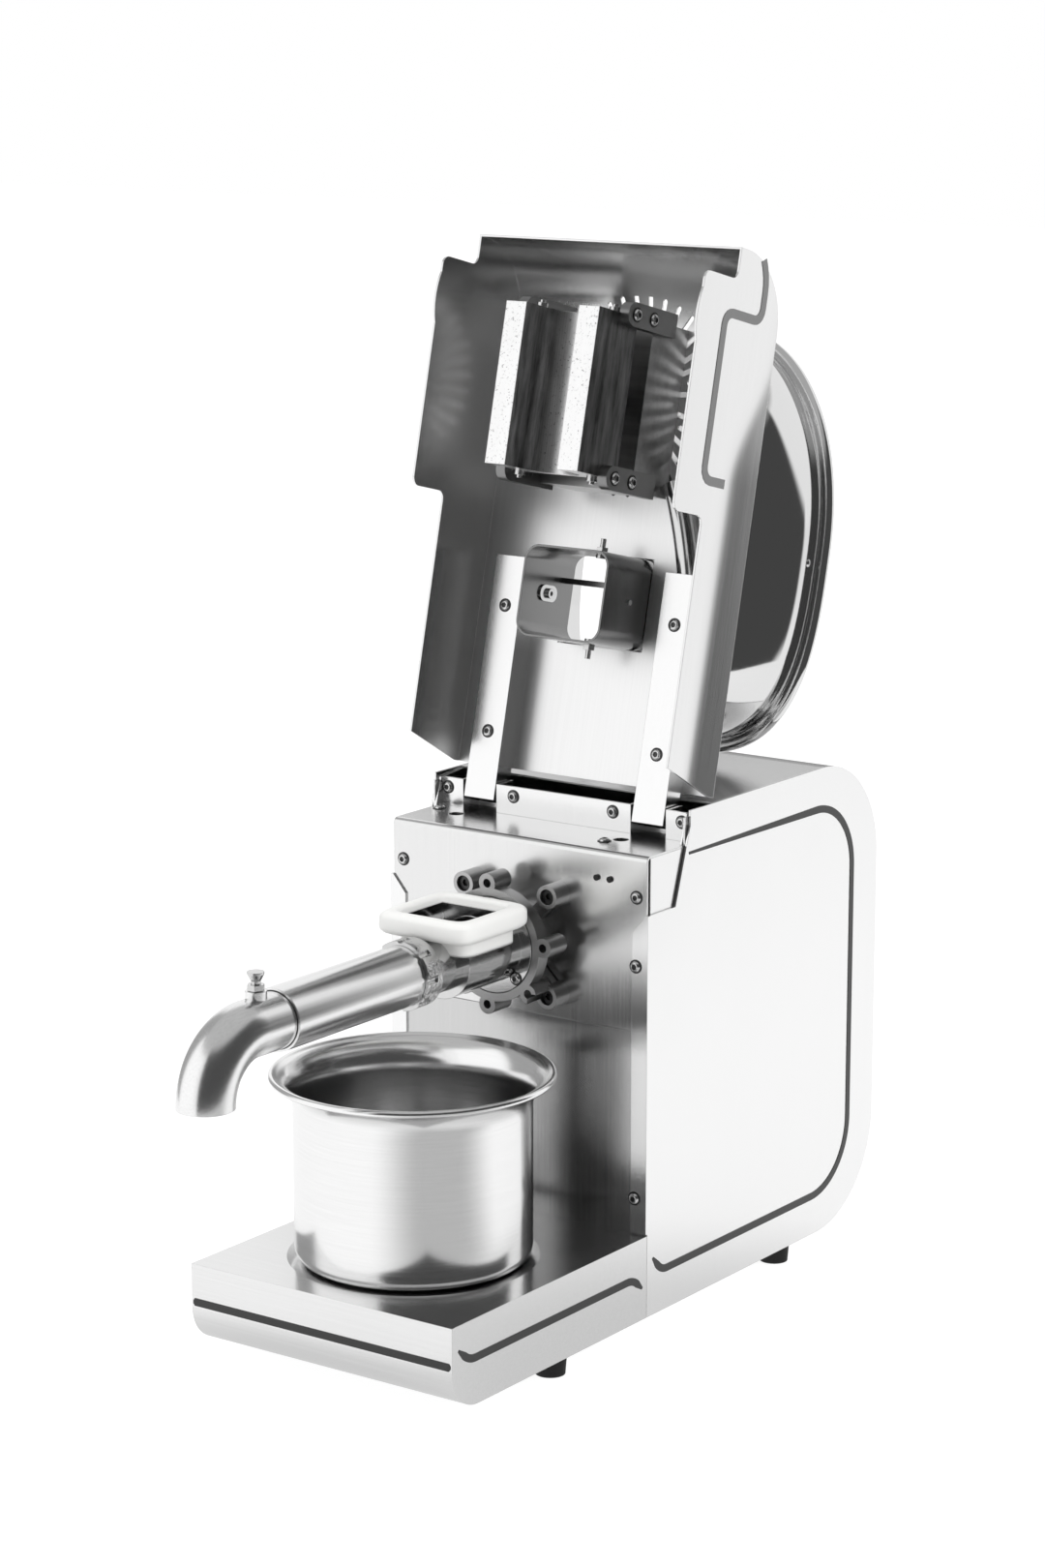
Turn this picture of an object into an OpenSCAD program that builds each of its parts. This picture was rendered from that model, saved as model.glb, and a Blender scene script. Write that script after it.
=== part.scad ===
// Table-top electric screw oil press, modelled with its lid open.
// Front is -Y, right is +X, up is +Z, and the origin is on the floor under the middle of its box.
// The machine frame inside has y = 0 at the front panel and z = 0 at the casing's bottom edge.
// Lid pieces are drawn where they lie with the lid shut, and open_lid() swings them up.

/* [Casing] */
// Width over the side panels
body_w = 170; // [164:1:180]
// Depth from the front panel to the rear wall
body_d = 235; // [225:1:250]
// Height of the top cover over the casing's bottom edge
body_h = 272; // [268:1:280]
// Radius of the rear corners
rear_r = 60; // [40:1:70]
// Thickness of the casing's sheet steel
sheet = 1.2; // [0.8:0.1:1.5]
// Gap between neighbouring panels
panel_gap = 0.3; // [0.2:0.05:0.5]
// How far the deck lies below the top cover
deck_drop = 18.4; // [17.5:0.1:20]
// Bend radius at the front edge of the deck
deck_bend = 3; // [2:0.5:5]
// Height of the seam between the two front panels
seam_z = 158; // [150:1:161]
// Width of the side panels' return on the front
return_w = 10; // [9:0.5:12]
// Height of the rubber feet
foot_h = 12; // [8:1:16]
// Radius of the rubber feet
foot_r = 9; // [7:0.5:11]

/* [Tray] */
// Depth of the tray in front of the body
tray_d = 174.6; // [172:1:190]
// Height of the tray's top
tray_h = 45.8; // [40:0.2:52]
// Radius of the tray's lower front edge
tray_r = 22; // [12:1:28]
// Radius of the recess for the bowl
recess_r = 67; // [64:1:72]
// Depth of the recess for the bowl
recess_depth = 1.5; // [1:0.1:2]

/* [Press] */
// Depth of the press axis below the top cover
axis_drop = 73; // [71:0.5:76]
// Outer radius of the press chamber
chamber_r = 19.5; // [18.5:0.5:21]
// Outer radius of the slotted barrel
barrel_r = 15; // [14:0.25:15.5]
// Inner radius of the barrel
barrel_bore = 11.6; // [11:0.1:12]
// Outer radius of the sleeve over the barrel
sleeve_r = 16.4; // [16.2:0.1:17.2]
// Length of the sleeve
sleeve_len = 102.5; // [95:0.5:106]
// Outer radius of the lock ring
ring_r = 18.6; // [18:0.2:20]
// Outer radius of the elbow's tube
elbow_r = 14.8; // [14:0.1:15]
// Bend radius of the elbow at its centre line
elbow_bend = 32.5; // [28:0.5:40]
// Wall of the elbow
elbow_wall = 1.5; // [1:0.1:2]
// Height of the feed collar's top over the press axis
collar_up = 27.5; // [26.5:0.5:29]
// Width of the feed collar
collar_w = 60; // [58:1:64]
// Length of the feed collar along the press
collar_l = 62; // [58:1:64]
// Width of the feed opening
feed_w = 40; // [36:1:44]
// Length of the feed opening along the press
feed_l = 34; // [30:1:38]

/* [Bowl] */
// Outer radius of the bowl's wall
bowl_r = 63; // [58:0.5:64]
// Height of the bowl
bowl_h = 102; // [90:1:106]
// Width of the bowl's flared rim
bowl_flare = 13; // [10:0.5:16]
// Wall of the bowl
bowl_wall = 1; // [0.8:0.1:1.4]

/* [Lid] */
// Angle that the lid is open
lid_open = 103.5; // [95:0.5:106]
// Height of the hinge axis over the deck
hinge_up = 10.4; // [10:0.1:12]
// Distance of the hinge axis behind the front panel
hinge_y = 50; // [48:0.5:53]
// Radius of the hinge pin
pin_r = 2.5; // [2:0.25:3]
// Running clearance of the straps on the pin
pin_gap = 0.06; // [0.02:0.01:0.1]
// Depth of the lid's rear side walls
lid_shallow = 48.6; // [44:0.2:50]
// Depth of the lid's front side walls
lid_deep = 77.5; // [70:0.5:80]
// Distance of the lid's front end before the front panel
lid_front = 251.5; // [248:0.5:256]
// Radius of the lid's nose
nose_r = 40; // [30:1:44]
// Width of a hinge strap
strap_w = 20.2; // [18:0.2:22]
// Distance of a strap's middle from the middle of the lid
strap_x = 55.9; // [54:0.1:58]
// Depth of the straps under the lid's plate
strap_depth = 14.8; // [13:0.1:15]

/* [Hopper] */
// Height of the hopper's rim over the lid
hopper_h = 89; // [70:1:95]
// Distance of the hopper's wall from the casing's side at its rim
hopper_side = 8.5; // [8.5:0.5:12]
// Width of the hopper's flared lip
hopper_lip = 7; // [4:0.5:7]
// Length of the rim before its widest place
hopper_front = 115; // [100:1:120]
// Length of the rim behind its widest place
hopper_rear = 110; // [100:1:112]
// Distance of the rim's widest place before the front panel
hopper_mid = 103.6; // [100:0.5:110]
// Wall of the hopper
hopper_wall = 1.4; // [1:0.1:2]
// Half width of the square chute
chute_half = 27.5; // [25:0.5:28.5]
// Half length of the chute along the press
chute_half_l = 25; // [23:0.5:26]
// Gap between the chute's end and the feed collar
chute_gap = 1.5; // [1:0.1:3]

/* [Heater] */
// Length of the heater block along the press
heater_l = 87; // [80:1:90]
// Half width of the heater block
heater_half = 30; // [29:0.5:33]
// Thickness of the heater block from its faces to its back
heater_t = 37; // [34:0.5:40]
// How far the block's faces reach below the press axis
heater_reach = 16; // [12:0.5:16.5]
// Gap between the heater's trough and the sleeve
heater_gap = 0.5; // [0.4:0.1:1]
// Middle of the heater before the front panel
heater_mid = 167; // [164:0.5:168]

/* [Drive] */
// Module of the gears
gear_m = 1.25; // [1.15:0.05:1.3]
// Teeth of the output gear
output_teeth = 48; // [44:1:50]
// Teeth of the small wheel on the intermediate shaft
small_teeth = 12; // [11:1:13]
// Teeth of the large wheel on the intermediate shaft
large_teeth = 40; // [36:1:42]
// Teeth of the motor's pinion
pinion_teeth = 12; // [11:1:13]
// Radius of the motor can
motor_r = 36; // [32:0.5:38]
// Length of the motor can
motor_l = 105; // [95:1:110]
// Wall of the gearbox
box_wall = 3; // [2.5:0.1:4]

/* [Hidden] */

$fn = 64;
eps = 0.01;
screw_hole = 1.65;

// Casing, derived
half = body_w / 2;
axis_z = body_h - axis_drop;
in_half = half - sheet;
panel_half = in_half - panel_gap;
chassis_half = panel_half - sheet;
deck_z = body_h - deck_drop;
deck_d = 61;
floor_z = sheet;
cheek_y = 36;
cheek_drop = 3.7;
rear_y = body_d;

// Lid, derived
hinge_z = deck_z + hinge_up;
lid_in_z = body_h - sheet;
lid_edge_z = body_h - lid_shallow;
lid_deep_z = body_h - lid_deep;
lid_rear_y = 36.8;
lid_rear_low_y = 23.8;
lid_step_y = -109;
lid_deep_front = lid_front - 17;
lid_end_z = body_h - 46;
notch_gap = 1.3;
notch_back = notch_gap + 0.9;
notch_z = lid_edge_z - notch_gap;
strap_z = lid_in_z - strap_depth;
strap_t = 1.5;
strap_front = -79.6;
strap_tail = 5.4;

// Press, derived
flange_y = -19;
ring_up = 5;
flange_r = 31;
flange_neck = 22;
chamber_flange_y = flange_y - ring_up;
chamber_flange_r = 26;
chamber_angles = [45, 135, -45, -135];
chamber_pcd = (chamber_r + chamber_flange_r) / 2;
ear_angles = [5, 95, 175, -45, -95, -135];
chamber_end = -70;
barrel_seat = 8;
ring_y0 = -92;
ring_len = 12;
sleeve_y0 = ring_y0 - ring_len - 0.3;
sleeve_y1 = sleeve_y0 - sleeve_len;
barrel_end = sleeve_y1 + 16;
sleeve_bore = barrel_r + 0.2;
elbow_y0 = barrel_end - 0.5;
elbow_y1 = sleeve_y1 - 21;
spout_y = elbow_y1 - elbow_bend;
thumb_y = sleeve_y1 - 14;
boss_r = 5.5;
boss_top = axis_z + elbow_r + 3.5;
collar_y = -58;
collar_top = axis_z + collar_up;
collar_t = 12;
inlet_t = 1.3;
inlet_fit = 0.1;
thread_gap = 0.06;

// Drive, derived
output_r = gear_m * output_teeth / 2;
small_r = gear_m * small_teeth / 2;
large_r = gear_m * large_teeth / 2;
pinion_r = gear_m * pinion_teeth / 2;
mid_z = axis_z - output_r - small_r;
motor_z = mid_z - large_r - pinion_r;
box_y0 = sheet;
box_y1 = 55;
cover_t = 3;
motor_y0 = box_y1 + cover_t;
motor_y1 = motor_y0 + motor_l;
bell_t = 3;
shaft_r = 8;
motor_shaft_r = 4;
mid_shaft_r = 4;
run_gap = 0.05;
gear_y = [9, 20];
wheel_y = [24, 32];
fan_y = motor_y1 + bell_t + 5;
fan_r = 30;

// Hopper and chute, derived
chute_y = -61;
chute_z0 = collar_top + chute_gap;
chute_z1 = body_h + 4;
chute_t = 1.2;
chute_fit = 0.4;
rim_z = body_h + hopper_h;
hopper_half = half - hopper_side;
bolt_z = body_h - 20;

// Heater, derived
trough_r = sleeve_r + heater_gap;
heater_z0 = axis_z - heater_reach;
heater_z1 = heater_z0 + heater_t;
heater_y0 = -heater_mid - heater_l / 2;
heater_y1 = -heater_mid + heater_l / 2;
mount_z = heater_z1 + 16;
bracket_t = 6;
bracket_w = 13;
bracket_z0 = axis_z + 3;
bracket_z1 = mount_z + 13;
heater_screw_z = [bracket_z0 + 8, bracket_z0 + 24.5];
lead_r = 6;
vent_y = -heater_mid - 7;

// Bowl, derived
bowl_y = -94;
bowl_z = tray_h - recess_depth;
bowl_corner = 8;
rim_bead = 2;

// Rear fittings
inlet_pos = [-38, rear_r + 20];
fuse_pos = [4, rear_r + 20];
rocker_z = rear_r + 20;
rocker_x = [34, 58];
rocker_w = 12;
rocker_h = 19;
rear_proud = 2.5;

// The box runs from the elbow's front to the rear fittings, and the origin is at its middle
origin_y = -(spout_y - elbow_r + rear_y + rear_proud) / 2;

// Screw places as [x, z] on the front, [x, y] on the deck and [y, z] elsewhere
front_screws = [for (s = [-1, 1]) [s * (half - 8), deck_z - 22.5]];
return_screws = [for (s = [-1, 1], z = [66, 194]) [s * (half - 7.5), z]];
bracket_screws = [7.5 - half, -33, 33, half - 7.5];
deck_screws = [[8 - half, 33], [half - 41.7, 19]];
deck_holes = [[24 - half, 27], [half - 36.4, 27]];
deck_hole_r = 4.2;
switch_x = half - 29.1;
switch_pitch = 4.2;
foot_y = [103.6 - tray_d, body_d - 85];
foot_in = 13;
strap_screw_y = [18, -52];

module machine() {
    translate([0, origin_y, foot_h]) children();
}

module open_lid() {
    machine()
        translate([0, hinge_y, hinge_z])
            rotate([-lid_open, 0, 0])
                translate([0, -hinge_y, -hinge_z]) children();
}

// A [y, z] outline drawn out along X
module along_x(x0, w) {
    translate([x0, 0, 0]) rotate([90, 0, 90]) linear_extrude(w) children();
}

// An [x, z] outline drawn out along Y
module along_y(y0, y1) {
    translate([0, y1, 0]) rotate([90, 0, 0]) linear_extrude(y1 - y0) children();
}

module rod_x(x0, x1, y, z, r) {
    translate([x0, y, z]) rotate([0, 90, 0]) cylinder(h = x1 - x0, r = r);
}

module rod_y(y0, y1, z, r, x = 0) {
    translate([x, y0, z]) rotate([-90, 0, 0]) cylinder(h = y1 - y0, r = r);
}

module both_sides() {
    children();
    mirror([1, 0, 0]) children();
}

// A rectangle from [x0, y0] to [x1, y1] with round corners
module round_rect(x0, y0, x1, y1, r) {
    translate([x0 + r, y0]) square([x1 - x0 - 2 * r, y1 - y0]);
    translate([x0, y0 + r]) square([x1 - x0, y1 - y0 - 2 * r]);
    for (x = [x0 + r, x1 - r], y = [y0 + r, y1 - r]) translate([x, y]) circle(r);
}

function unit(v) = v / norm(v);
function arc(c, r, a0, a1, n = 10) = [for (k = [0 : n])
    let (a = a0 + (a1 - a0) * k / n) c + r * [cos(a), sin(a)]];
// Mitred normal of a line of points at its point i
function mitre(p, i) =
    let (last = len(p) - 1, a = unit(p[max(i, 1)] - p[max(i, 1) - 1]),
        b = unit(p[min(i, last - 1) + 1] - p[min(i, last - 1)]), m = unit(a + b))
    [-m[1], m[0]] / (m * a);

// A band of width w along a line of points
module ribbon(p, w) {
    n = len(p) - 1;
    polygon(concat([for (i = [0 : n]) p[i] + mitre(p, i) * w / 2],
        [for (i = [n : -1 : 0]) p[i] - mitre(p, i) * w / 2]));
}

// A cheese-head screw whose seat is at the origin, with its head along +Z
module screw(head_r = 3, head_h = 1.8, shank_r = 1.5, shank = 3) {
    difference() {
        cylinder(h = head_h, r = head_r);
        translate([0, 0, head_h / 2]) cylinder(h = head_h, r = head_r * 0.5, $fn = 6);
    }
    translate([0, 0, -shank]) cylinder(h = shank + eps, r = shank_r);
}

module holes_y(spots, y0, y1, r = screw_hole) {
    for (p = spots) rod_y(y0, y1, p[1], r, p[0]);
}

// Casing

// Outline of the body's side, inset by i, from the front panel to the round rear corners
module body_outline(i = 0) {
    r = rear_r - i;
    translate([0, i]) square([rear_y - rear_r, body_h - 2 * i]);
    translate([0, rear_r]) square([rear_y - i, body_h - 2 * rear_r]);
    for (z = [rear_r, body_h - rear_r]) translate([rear_y - rear_r, z]) circle(r);
}

module side_panel() {
    difference() {
        union() {
            along_x(in_half, sheet) difference() {
                body_outline();
                translate([-1, -1]) square([1 + panel_gap, tray_h + 2]);
                polygon([[-2, notch_z], [lid_rear_low_y + notch_gap, notch_z],
                    [lid_rear_y + notch_back, lid_in_z - 7], [lid_rear_y + notch_back, body_h + 1],
                    [-2, body_h + 1]]);
            }
            along_y(-sheet, 0) polygon([[half, tray_h + 1], [half, notch_z], [half - 1.5, notch_z],
                [half - return_w, notch_z - return_w], [half - return_w, tray_h + 1]]);
        }
        holes_y(return_screws, -2 * sheet, sheet);
    }
}

module side_panel_right() {
    color("whitesmoke") machine() side_panel();
}

module side_panel_left() {
    color("whitesmoke") machine() mirror([1, 0, 0]) side_panel();
}

module front_panel() {
    color("silver") machine() difference() {
        along_x(-panel_half, 2 * panel_half) {
            translate([0, seam_z]) square([sheet, deck_z - deck_bend - seam_z]);
            translate([deck_bend, deck_z - sheet]) square([deck_d - deck_bend, sheet]);
            translate([deck_bend, deck_z - deck_bend]) intersection() {
                difference() {
                    circle(deck_bend);
                    circle(deck_bend - sheet);
                }
                translate([-deck_bend, 0]) square(deck_bend);
            }
        }
        rod_y(-1, 3, axis_z, flange_neck - 2);
        holes_y(front_screws, -1, 3);
        holes_y(return_screws, -1, 3);
        holes_y(flange_spots(), -1, 3, 2.4);
        for (p = deck_screws) translate([p[0], p[1], deck_z - 3]) cylinder(h = 4, r = screw_hole);
        for (p = deck_holes) translate([p[0], p[1], deck_z - 3]) cylinder(h = 4, r = deck_hole_r);
        for (s = [-1, 1]) rod_y(-1, 3, deck_z - 15, 1.1, switch_x + s * switch_pitch);
    }
}

module lower_front_panel() {
    color("silver") machine() difference() {
        translate([-panel_half, 0, sheet]) cube([2 * panel_half, sheet, seam_z - panel_gap - sheet]);
        holes_y(return_screws, -1, 3);
    }
}

module rear_shell() {
    front = deck_d + 1;
    slots = 7;
    color("gainsboro") machine() difference() {
        along_x(-panel_half, 2 * panel_half) difference() {
            body_outline();
            translate([-1, 0]) union() {
                square([2, body_h]);
                translate([0, sheet]) square([rear_y - rear_r + 1, body_h - 2 * sheet]);
            }
            body_outline(sheet);
            translate([-1, rear_r]) square([front + 1, body_h]);
        }
        for (k = [0 : slots - 1], s = [-1, 1])
            translate([s * 34 - 22, rear_y - 2 * sheet, rocker_z + 26 + 11 * k]) cube([44, 3 * sheet, 4]);
        translate([inlet_pos[0] - 13.8, rear_y - 5, inlet_pos[1] - 10.3]) cube([27.6, 10, 20.6]);
        rod_y(rear_y - 5, rear_y + 5, fuse_pos[1], 6.2, fuse_pos[0]);
        for (x = rocker_x)
            translate([x - rocker_w / 2 - 1.7, rear_y - 5, rocker_z - rocker_h / 2 - 1.7])
                cube([rocker_w + 3.4, 10, rocker_h + 3.4]);
    }
}

// Floor plate and two cheeks: the cheeks stand over the deck on both sides of the hinge
module chassis() {
    inset = sheet + 0.05;
    color("darkgray") machine() {
        both_sides() along_x(chassis_half, sheet) difference() {
            body_outline(inset);
            translate([-1, -1]) square([deck_bend + 1.3, body_h]);
            translate([-1, deck_z - sheet - 0.05]) square([cheek_y + 1, body_h]);
            translate([-1, deck_z - sheet - 0.05]) square([deck_d + 1.1, sheet + 0.1]);
            polygon([[cheek_y - 1, body_h - cheek_drop], [cheek_y, body_h - cheek_drop],
                [deck_d, body_h - sheet - 0.05], [deck_d, body_h + 1], [cheek_y - 1, body_h + 1]]);
        }
        translate([-chassis_half, 2, floor_z])
            cube([2 * chassis_half, rear_y - rear_r - 2, sheet]);
    }
}

module hinge_bracket() {
    y0 = hinge_y - 8;
    lug_t = 1.4;
    lug_gap = 1.2;
    lug_in = strap_x - strap_w / 2 - lug_gap;
    lug_out = strap_x + strap_w / 2 + lug_gap;
    edge = chassis_half - 0.2;
    plate_h = deck_drop - 2.4;
    color("silver") machine() difference() {
        union() {
            translate([-lug_in, y0, deck_z]) cube([2 * lug_in, 1.5, plate_h]);
            translate([-lug_in, y0, deck_z]) cube([2 * lug_in, deck_d - y0, 1.2]);
            translate([-edge, deck_d - 4, deck_z]) cube([2 * edge, 4, 1.2]);
            both_sides() {
                translate([lug_out, y0, deck_z]) cube([edge - lug_out, 1.5, plate_h]);
                translate([lug_out, y0, deck_z]) cube([edge - lug_out, deck_d - y0, 1.2]);
                for (x = [lug_in - lug_t, lug_out]) translate([x, y0, deck_z])
                    cube([lug_t, 14, plate_h]);
                translate([edge - 1.2, 0, deck_z]) along_x(0, 1.2)
                    polygon([[y0 - 7, 0], [y0 + 1, 0], [y0 + 1, plate_h], [y0 - 2, plate_h]]);
            }
        }
        rod_x(-half, half, hinge_y, hinge_z, pin_r + 0.02);
        for (x = bracket_screws) rod_y(y0 - 1, y0 + 3, deck_z + plate_h / 2 + 2.5, screw_hole, x);
    }
}

module hinge_pin() {
    end = strap_x + strap_w / 2 + 4;
    color("dimgray") machine() rod_x(-end, end, hinge_y, hinge_z, pin_r);
}

module rubber_feet() {
    color([0.1, 0.1, 0.1]) machine() for (s = [-1, 1], y = foot_y) translate([s * (half - foot_in), y, -foot_h]) difference() {
        cylinder(h = foot_h, r1 = foot_r - 1, r2 = foot_r);
        translate([0, 0, -1]) cylinder(h = 4, r = 3);
    }
}

module panel_screws() {
    plate_h = deck_drop - 2.4;
    color("lightgray") machine() {
        for (p = front_screws) translate([p[0], 0, p[1]]) rotate([90, 0, 0]) screw();
        for (p = return_screws) translate([p[0], -sheet, p[1]]) rotate([90, 0, 0]) screw();
        for (x = bracket_screws)
            translate([x, hinge_y - 8, deck_z + plate_h / 2 + 2.5]) rotate([90, 0, 0]) screw();
        for (p = deck_screws) translate([p[0], p[1], deck_z]) screw(head_h = 1.6);
    }
}

// Dark tape: one loop on each side of the body, one line round the tray
module body_stripes() {
    w = 4;
    t = 0.3;
    low = 23;
    back = rear_y - 27.5;
    top = body_h - 23;
    r = 39;
    line_z = 25;
    color([0.15, 0.15, 0.15]) machine() {
        both_sides() along_x(half, t) {
            ribbon(concat([[7, low + 8], [14, low]], arc([back - r, low + r], r, -90, 0),
                arc([back - r, top - r], r, 0, 90), [[38, top]]), w);
            ribbon([[-168, line_z + 6], [-161, line_z], [-12, line_z], [-4, line_z - 6]], w);
        }
        translate([-half + 1, -tray_d - t, line_z - w / 2]) cube([2 * half - 2, t, w]);
    }
}

// Tray

module tray_outline(i = 0, back = 0) {
    r = tray_r - i;
    translate([-tray_d + i, tray_r]) square([tray_d - i + back, tray_h - tray_r - i]);
    translate([-tray_d + tray_r, i]) square([tray_d - tray_r + back, tray_h - 2 * i]);
    translate([-tray_d + tray_r, tray_r]) circle(r);
}

module base_tray() {
    run = recess_r - bowl_r + bowl_corner - 3;
    color("silver") machine() difference() {
        union() {
            difference() {
                along_x(-half, body_w) tray_outline();
                along_x(-in_half, 2 * in_half) tray_outline(sheet, 5);
            }
            translate([0, bowl_y, tray_h - recess_depth - sheet])
                cylinder(h = recess_depth + sheet - eps, r = recess_r + 2);
        }
        translate([0, bowl_y, bowl_z])
            cylinder(h = recess_depth + eps, r1 = recess_r - run, r2 = recess_r);
    }
}

module oil_bowl() {
    r = bowl_r;
    t = bowl_wall;
    flare = bowl_flare - rim_bead;
    straight = bowl_h - flare - rim_bead;
    color("gainsboro") machine() translate([0, bowl_y, bowl_z + 0.05]) rotate_extrude($fn = 96) {
        square([r - bowl_corner, t]);
        translate([r - bowl_corner, bowl_corner]) intersection() {
            difference() {
                circle(bowl_corner);
                circle(bowl_corner - t);
            }
            translate([0, -bowl_corner]) square(bowl_corner);
        }
        translate([r - t, bowl_corner]) square([t, straight - bowl_corner]);
        translate([r + flare, straight]) intersection() {
            difference() {
                circle(flare + t);
                circle(flare);
            }
            translate([-flare - t, 0]) square(flare + t);
        }
        translate([r + flare, straight + flare + t - rim_bead]) circle(rim_bead);
    }
}

// Press

// Corner screws of the flange, and the ears between them
function flange_spots() = [for (s = [-1, 1], t = [-1, 1]) [s * 27.5, axis_z + t * 27.5]];

module gearbox_flange() {
    ear_r = 5.3;
    ear_pcd = flange_r + 2.5;
    ear_l = 15;
    web = 3.5;
    front = flange_y - ring_up;
    boss_y = flange_y + 7;
    color([0.7, 0.7, 0.7]) machine() difference() {
        union() {
            rod_y(front, flange_y + web, axis_z, flange_r);
            rod_y(flange_y, 0, axis_z, flange_neck);
            for (p = flange_spots()) rod_y(boss_y, 0, p[1], 6.5, p[0]);
            for (a = [45 : 90 : 315]) translate([0, boss_y + 6.5, axis_z]) rotate([0, a, 0])
                translate([20, 0, -4]) cube([16, -boss_y - 7.5, 8]);
            for (a = ear_angles)
                rod_y(front, front + ear_l, axis_z + ear_pcd * sin(a), ear_r, ear_pcd * cos(a));
        }
        rod_y(front - 1, flange_y, axis_z, chamber_flange_r + 0.6);
        rod_y(front - 1, 1, axis_z, shaft_r + 6);
        for (p = flange_spots()) {
            rod_y(boss_y - 1, 1, p[1], 2.4, p[0]);
            rod_y(boss_y - 12, boss_y + 5, p[1], 4.3, p[0]);
        }
        for (a = ear_angles)
            rod_y(front - 1, front + ear_l - 3, axis_z + ear_pcd * sin(a), 2.4, ear_pcd * cos(a));
        for (a = chamber_angles)
            rod_y(flange_y - 1, flange_y + 6, axis_z + chamber_pcd * sin(a), 1.7, chamber_pcd * cos(a));
    }
}

module flange_screws() {
    color("dimgray") machine() for (p = flange_spots())
        translate([p[0], flange_y + 12, p[1]]) rotate([90, 0, 0])
            screw(head_r = 4, head_h = 3, shank_r = 2.2, shank = 13);
}

// Gearbox outline, inset by i
module box_outline(i = 0) {
    translate([0, axis_z]) circle(output_r + 6 - i);
    translate([0, motor_z]) circle(large_r + 8 - i);
    translate([-large_r - 8 + i, motor_z]) square([2 * (large_r + 8 - i), axis_z - motor_z]);
}

module gearbox_housing() {
    color([0.62, 0.62, 0.62]) machine() difference() {
        along_y(box_y0, box_y1) box_outline();
        along_y(box_y0 + box_wall + 2, box_y1 + 1) box_outline(box_wall);
        rod_y(0, 10, axis_z, shaft_r + 6);
        rod_y(box_y0 + 2, 10, mid_z, mid_shaft_r + run_gap);
        holes_y(flange_spots(), 0, 8, 2.4);
    }
}

module gearbox_cover() {
    color([0.62, 0.62, 0.62]) machine() difference() {
        along_y(box_y1, box_y1 + cover_t) box_outline();
        rod_y(box_y1 - 1, box_y1 + 1.5, mid_z, mid_shaft_r + run_gap);
        rod_y(box_y1 - 1, box_y1 + 5, motor_z, motor_shaft_r + 0.3);
        rod_y(box_y1 - 1, box_y1 + 5, axis_z, shaft_r - 2);
    }
}

module shaft_bearings() {
    color("gainsboro") machine() difference() {
        rod_y(flange_y + 1, box_y0 + box_wall + 2, axis_z, shaft_r + 6);
        rod_y(flange_y, 10, axis_z, shaft_r + run_gap);
    }
}

module motor_can() {
    color("dimgray") machine() difference() {
        rod_y(motor_y0, motor_y1, motor_z, motor_r);
        rod_y(motor_y0 + 3, motor_y1 + 1, motor_z, motor_r - 3);
        rod_y(motor_y0 - 1, motor_y1, motor_z, motor_shaft_r + run_gap);
    }
}

module motor_end_bell() {
    color("gray") machine() difference() {
        rod_y(motor_y1, motor_y1 + bell_t, motor_z, motor_r);
        rod_y(motor_y1 - 1, motor_y1 + 5, motor_z, motor_shaft_r + run_gap);
        for (a = [30 : 60 : 330])
            rod_y(motor_y1 - 1, motor_y1 + 5, motor_z + 24 * sin(a), 5, 24 * cos(a));
    }
}

module motor_cradle() {
    color("darkgray") machine() for (y = [motor_y0 + 15, motor_y1 - 25]) difference() {
        translate([-motor_r + 4, y, floor_z + sheet]) cube([2 * motor_r - 8, 8, motor_z - 20 - floor_z]);
        rod_y(y - 1, y + 9, motor_z, motor_r);
    }
}

// A spur gear outline with n slim teeth, one of them at angle a
module gear_outline(n, a) {
    r = gear_m * n / 2;
    root = r - 1.25 * gear_m;
    tip = r + 0.8 * gear_m;
    step = 360 / n;
    polygon([for (k = [0 : n - 1], p = [[root, -0.29], [tip, -0.12], [tip, 0.12], [root, 0.29]])
        let (t = a + (k + p[1]) * step) p[0] * [cos(t), sin(t)]]);
}

module gear(y0, y1, z, n, a) {
    translate([0, 0, z]) along_y(y0, y1) gear_outline(n, a);
}

module output_gear() {
    color("goldenrod") machine() difference() {
        gear(gear_y[0], gear_y[1], axis_z, output_teeth, -90);
        rod_y(0, 40, axis_z, shaft_r - 1);
        for (a = [0 : 60 : 300])
            rod_y(0, 40, axis_z + 18 * sin(a), 4.5, 18 * cos(a));
    }
}

module intermediate_gear() {
    color("goldenrod") machine() {
        gear(gear_y[0], wheel_y[0] + eps, mid_z, small_teeth, 90 + 180 / small_teeth);
        gear(wheel_y[0], wheel_y[1], mid_z, large_teeth, -90);
        rod_y(box_y0 + 2.2, box_y1 + 1.3, mid_z, mid_shaft_r);
    }
}

module motor_rotor() {
    color("peru") machine() {
        gear(wheel_y[0], wheel_y[1], motor_z, pinion_teeth, 90 + 180 / pinion_teeth);
        rod_y(wheel_y[0], fan_y + 12, motor_z, motor_shaft_r);
        rod_y(motor_y0 + 18, motor_y1 - 18, motor_z, motor_r - 11);
        rod_y(motor_y1 - 16, motor_y1 - 6, motor_z, 12);
    }
}

module cooling_fan() {
    blades = 7;
    color([0.2, 0.2, 0.2]) machine() translate([0, fan_y, motor_z]) rotate([-90, 0, 0]) {
        difference() {
            union() {
                cylinder(h = 12, r = 9);
                for (k = [0 : blades - 1]) rotate(k * 360 / blades)
                    translate([fan_r / 2, 0, 6]) rotate([40, 0, 0])
                        translate([-fan_r / 2 + 7, -6, -0.8]) cube([fan_r - 7, 12, 1.6]);
            }
            translate([0, 0, -1]) cylinder(h = 20, r = motor_shaft_r + 0.02);
        }
    }
}

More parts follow.
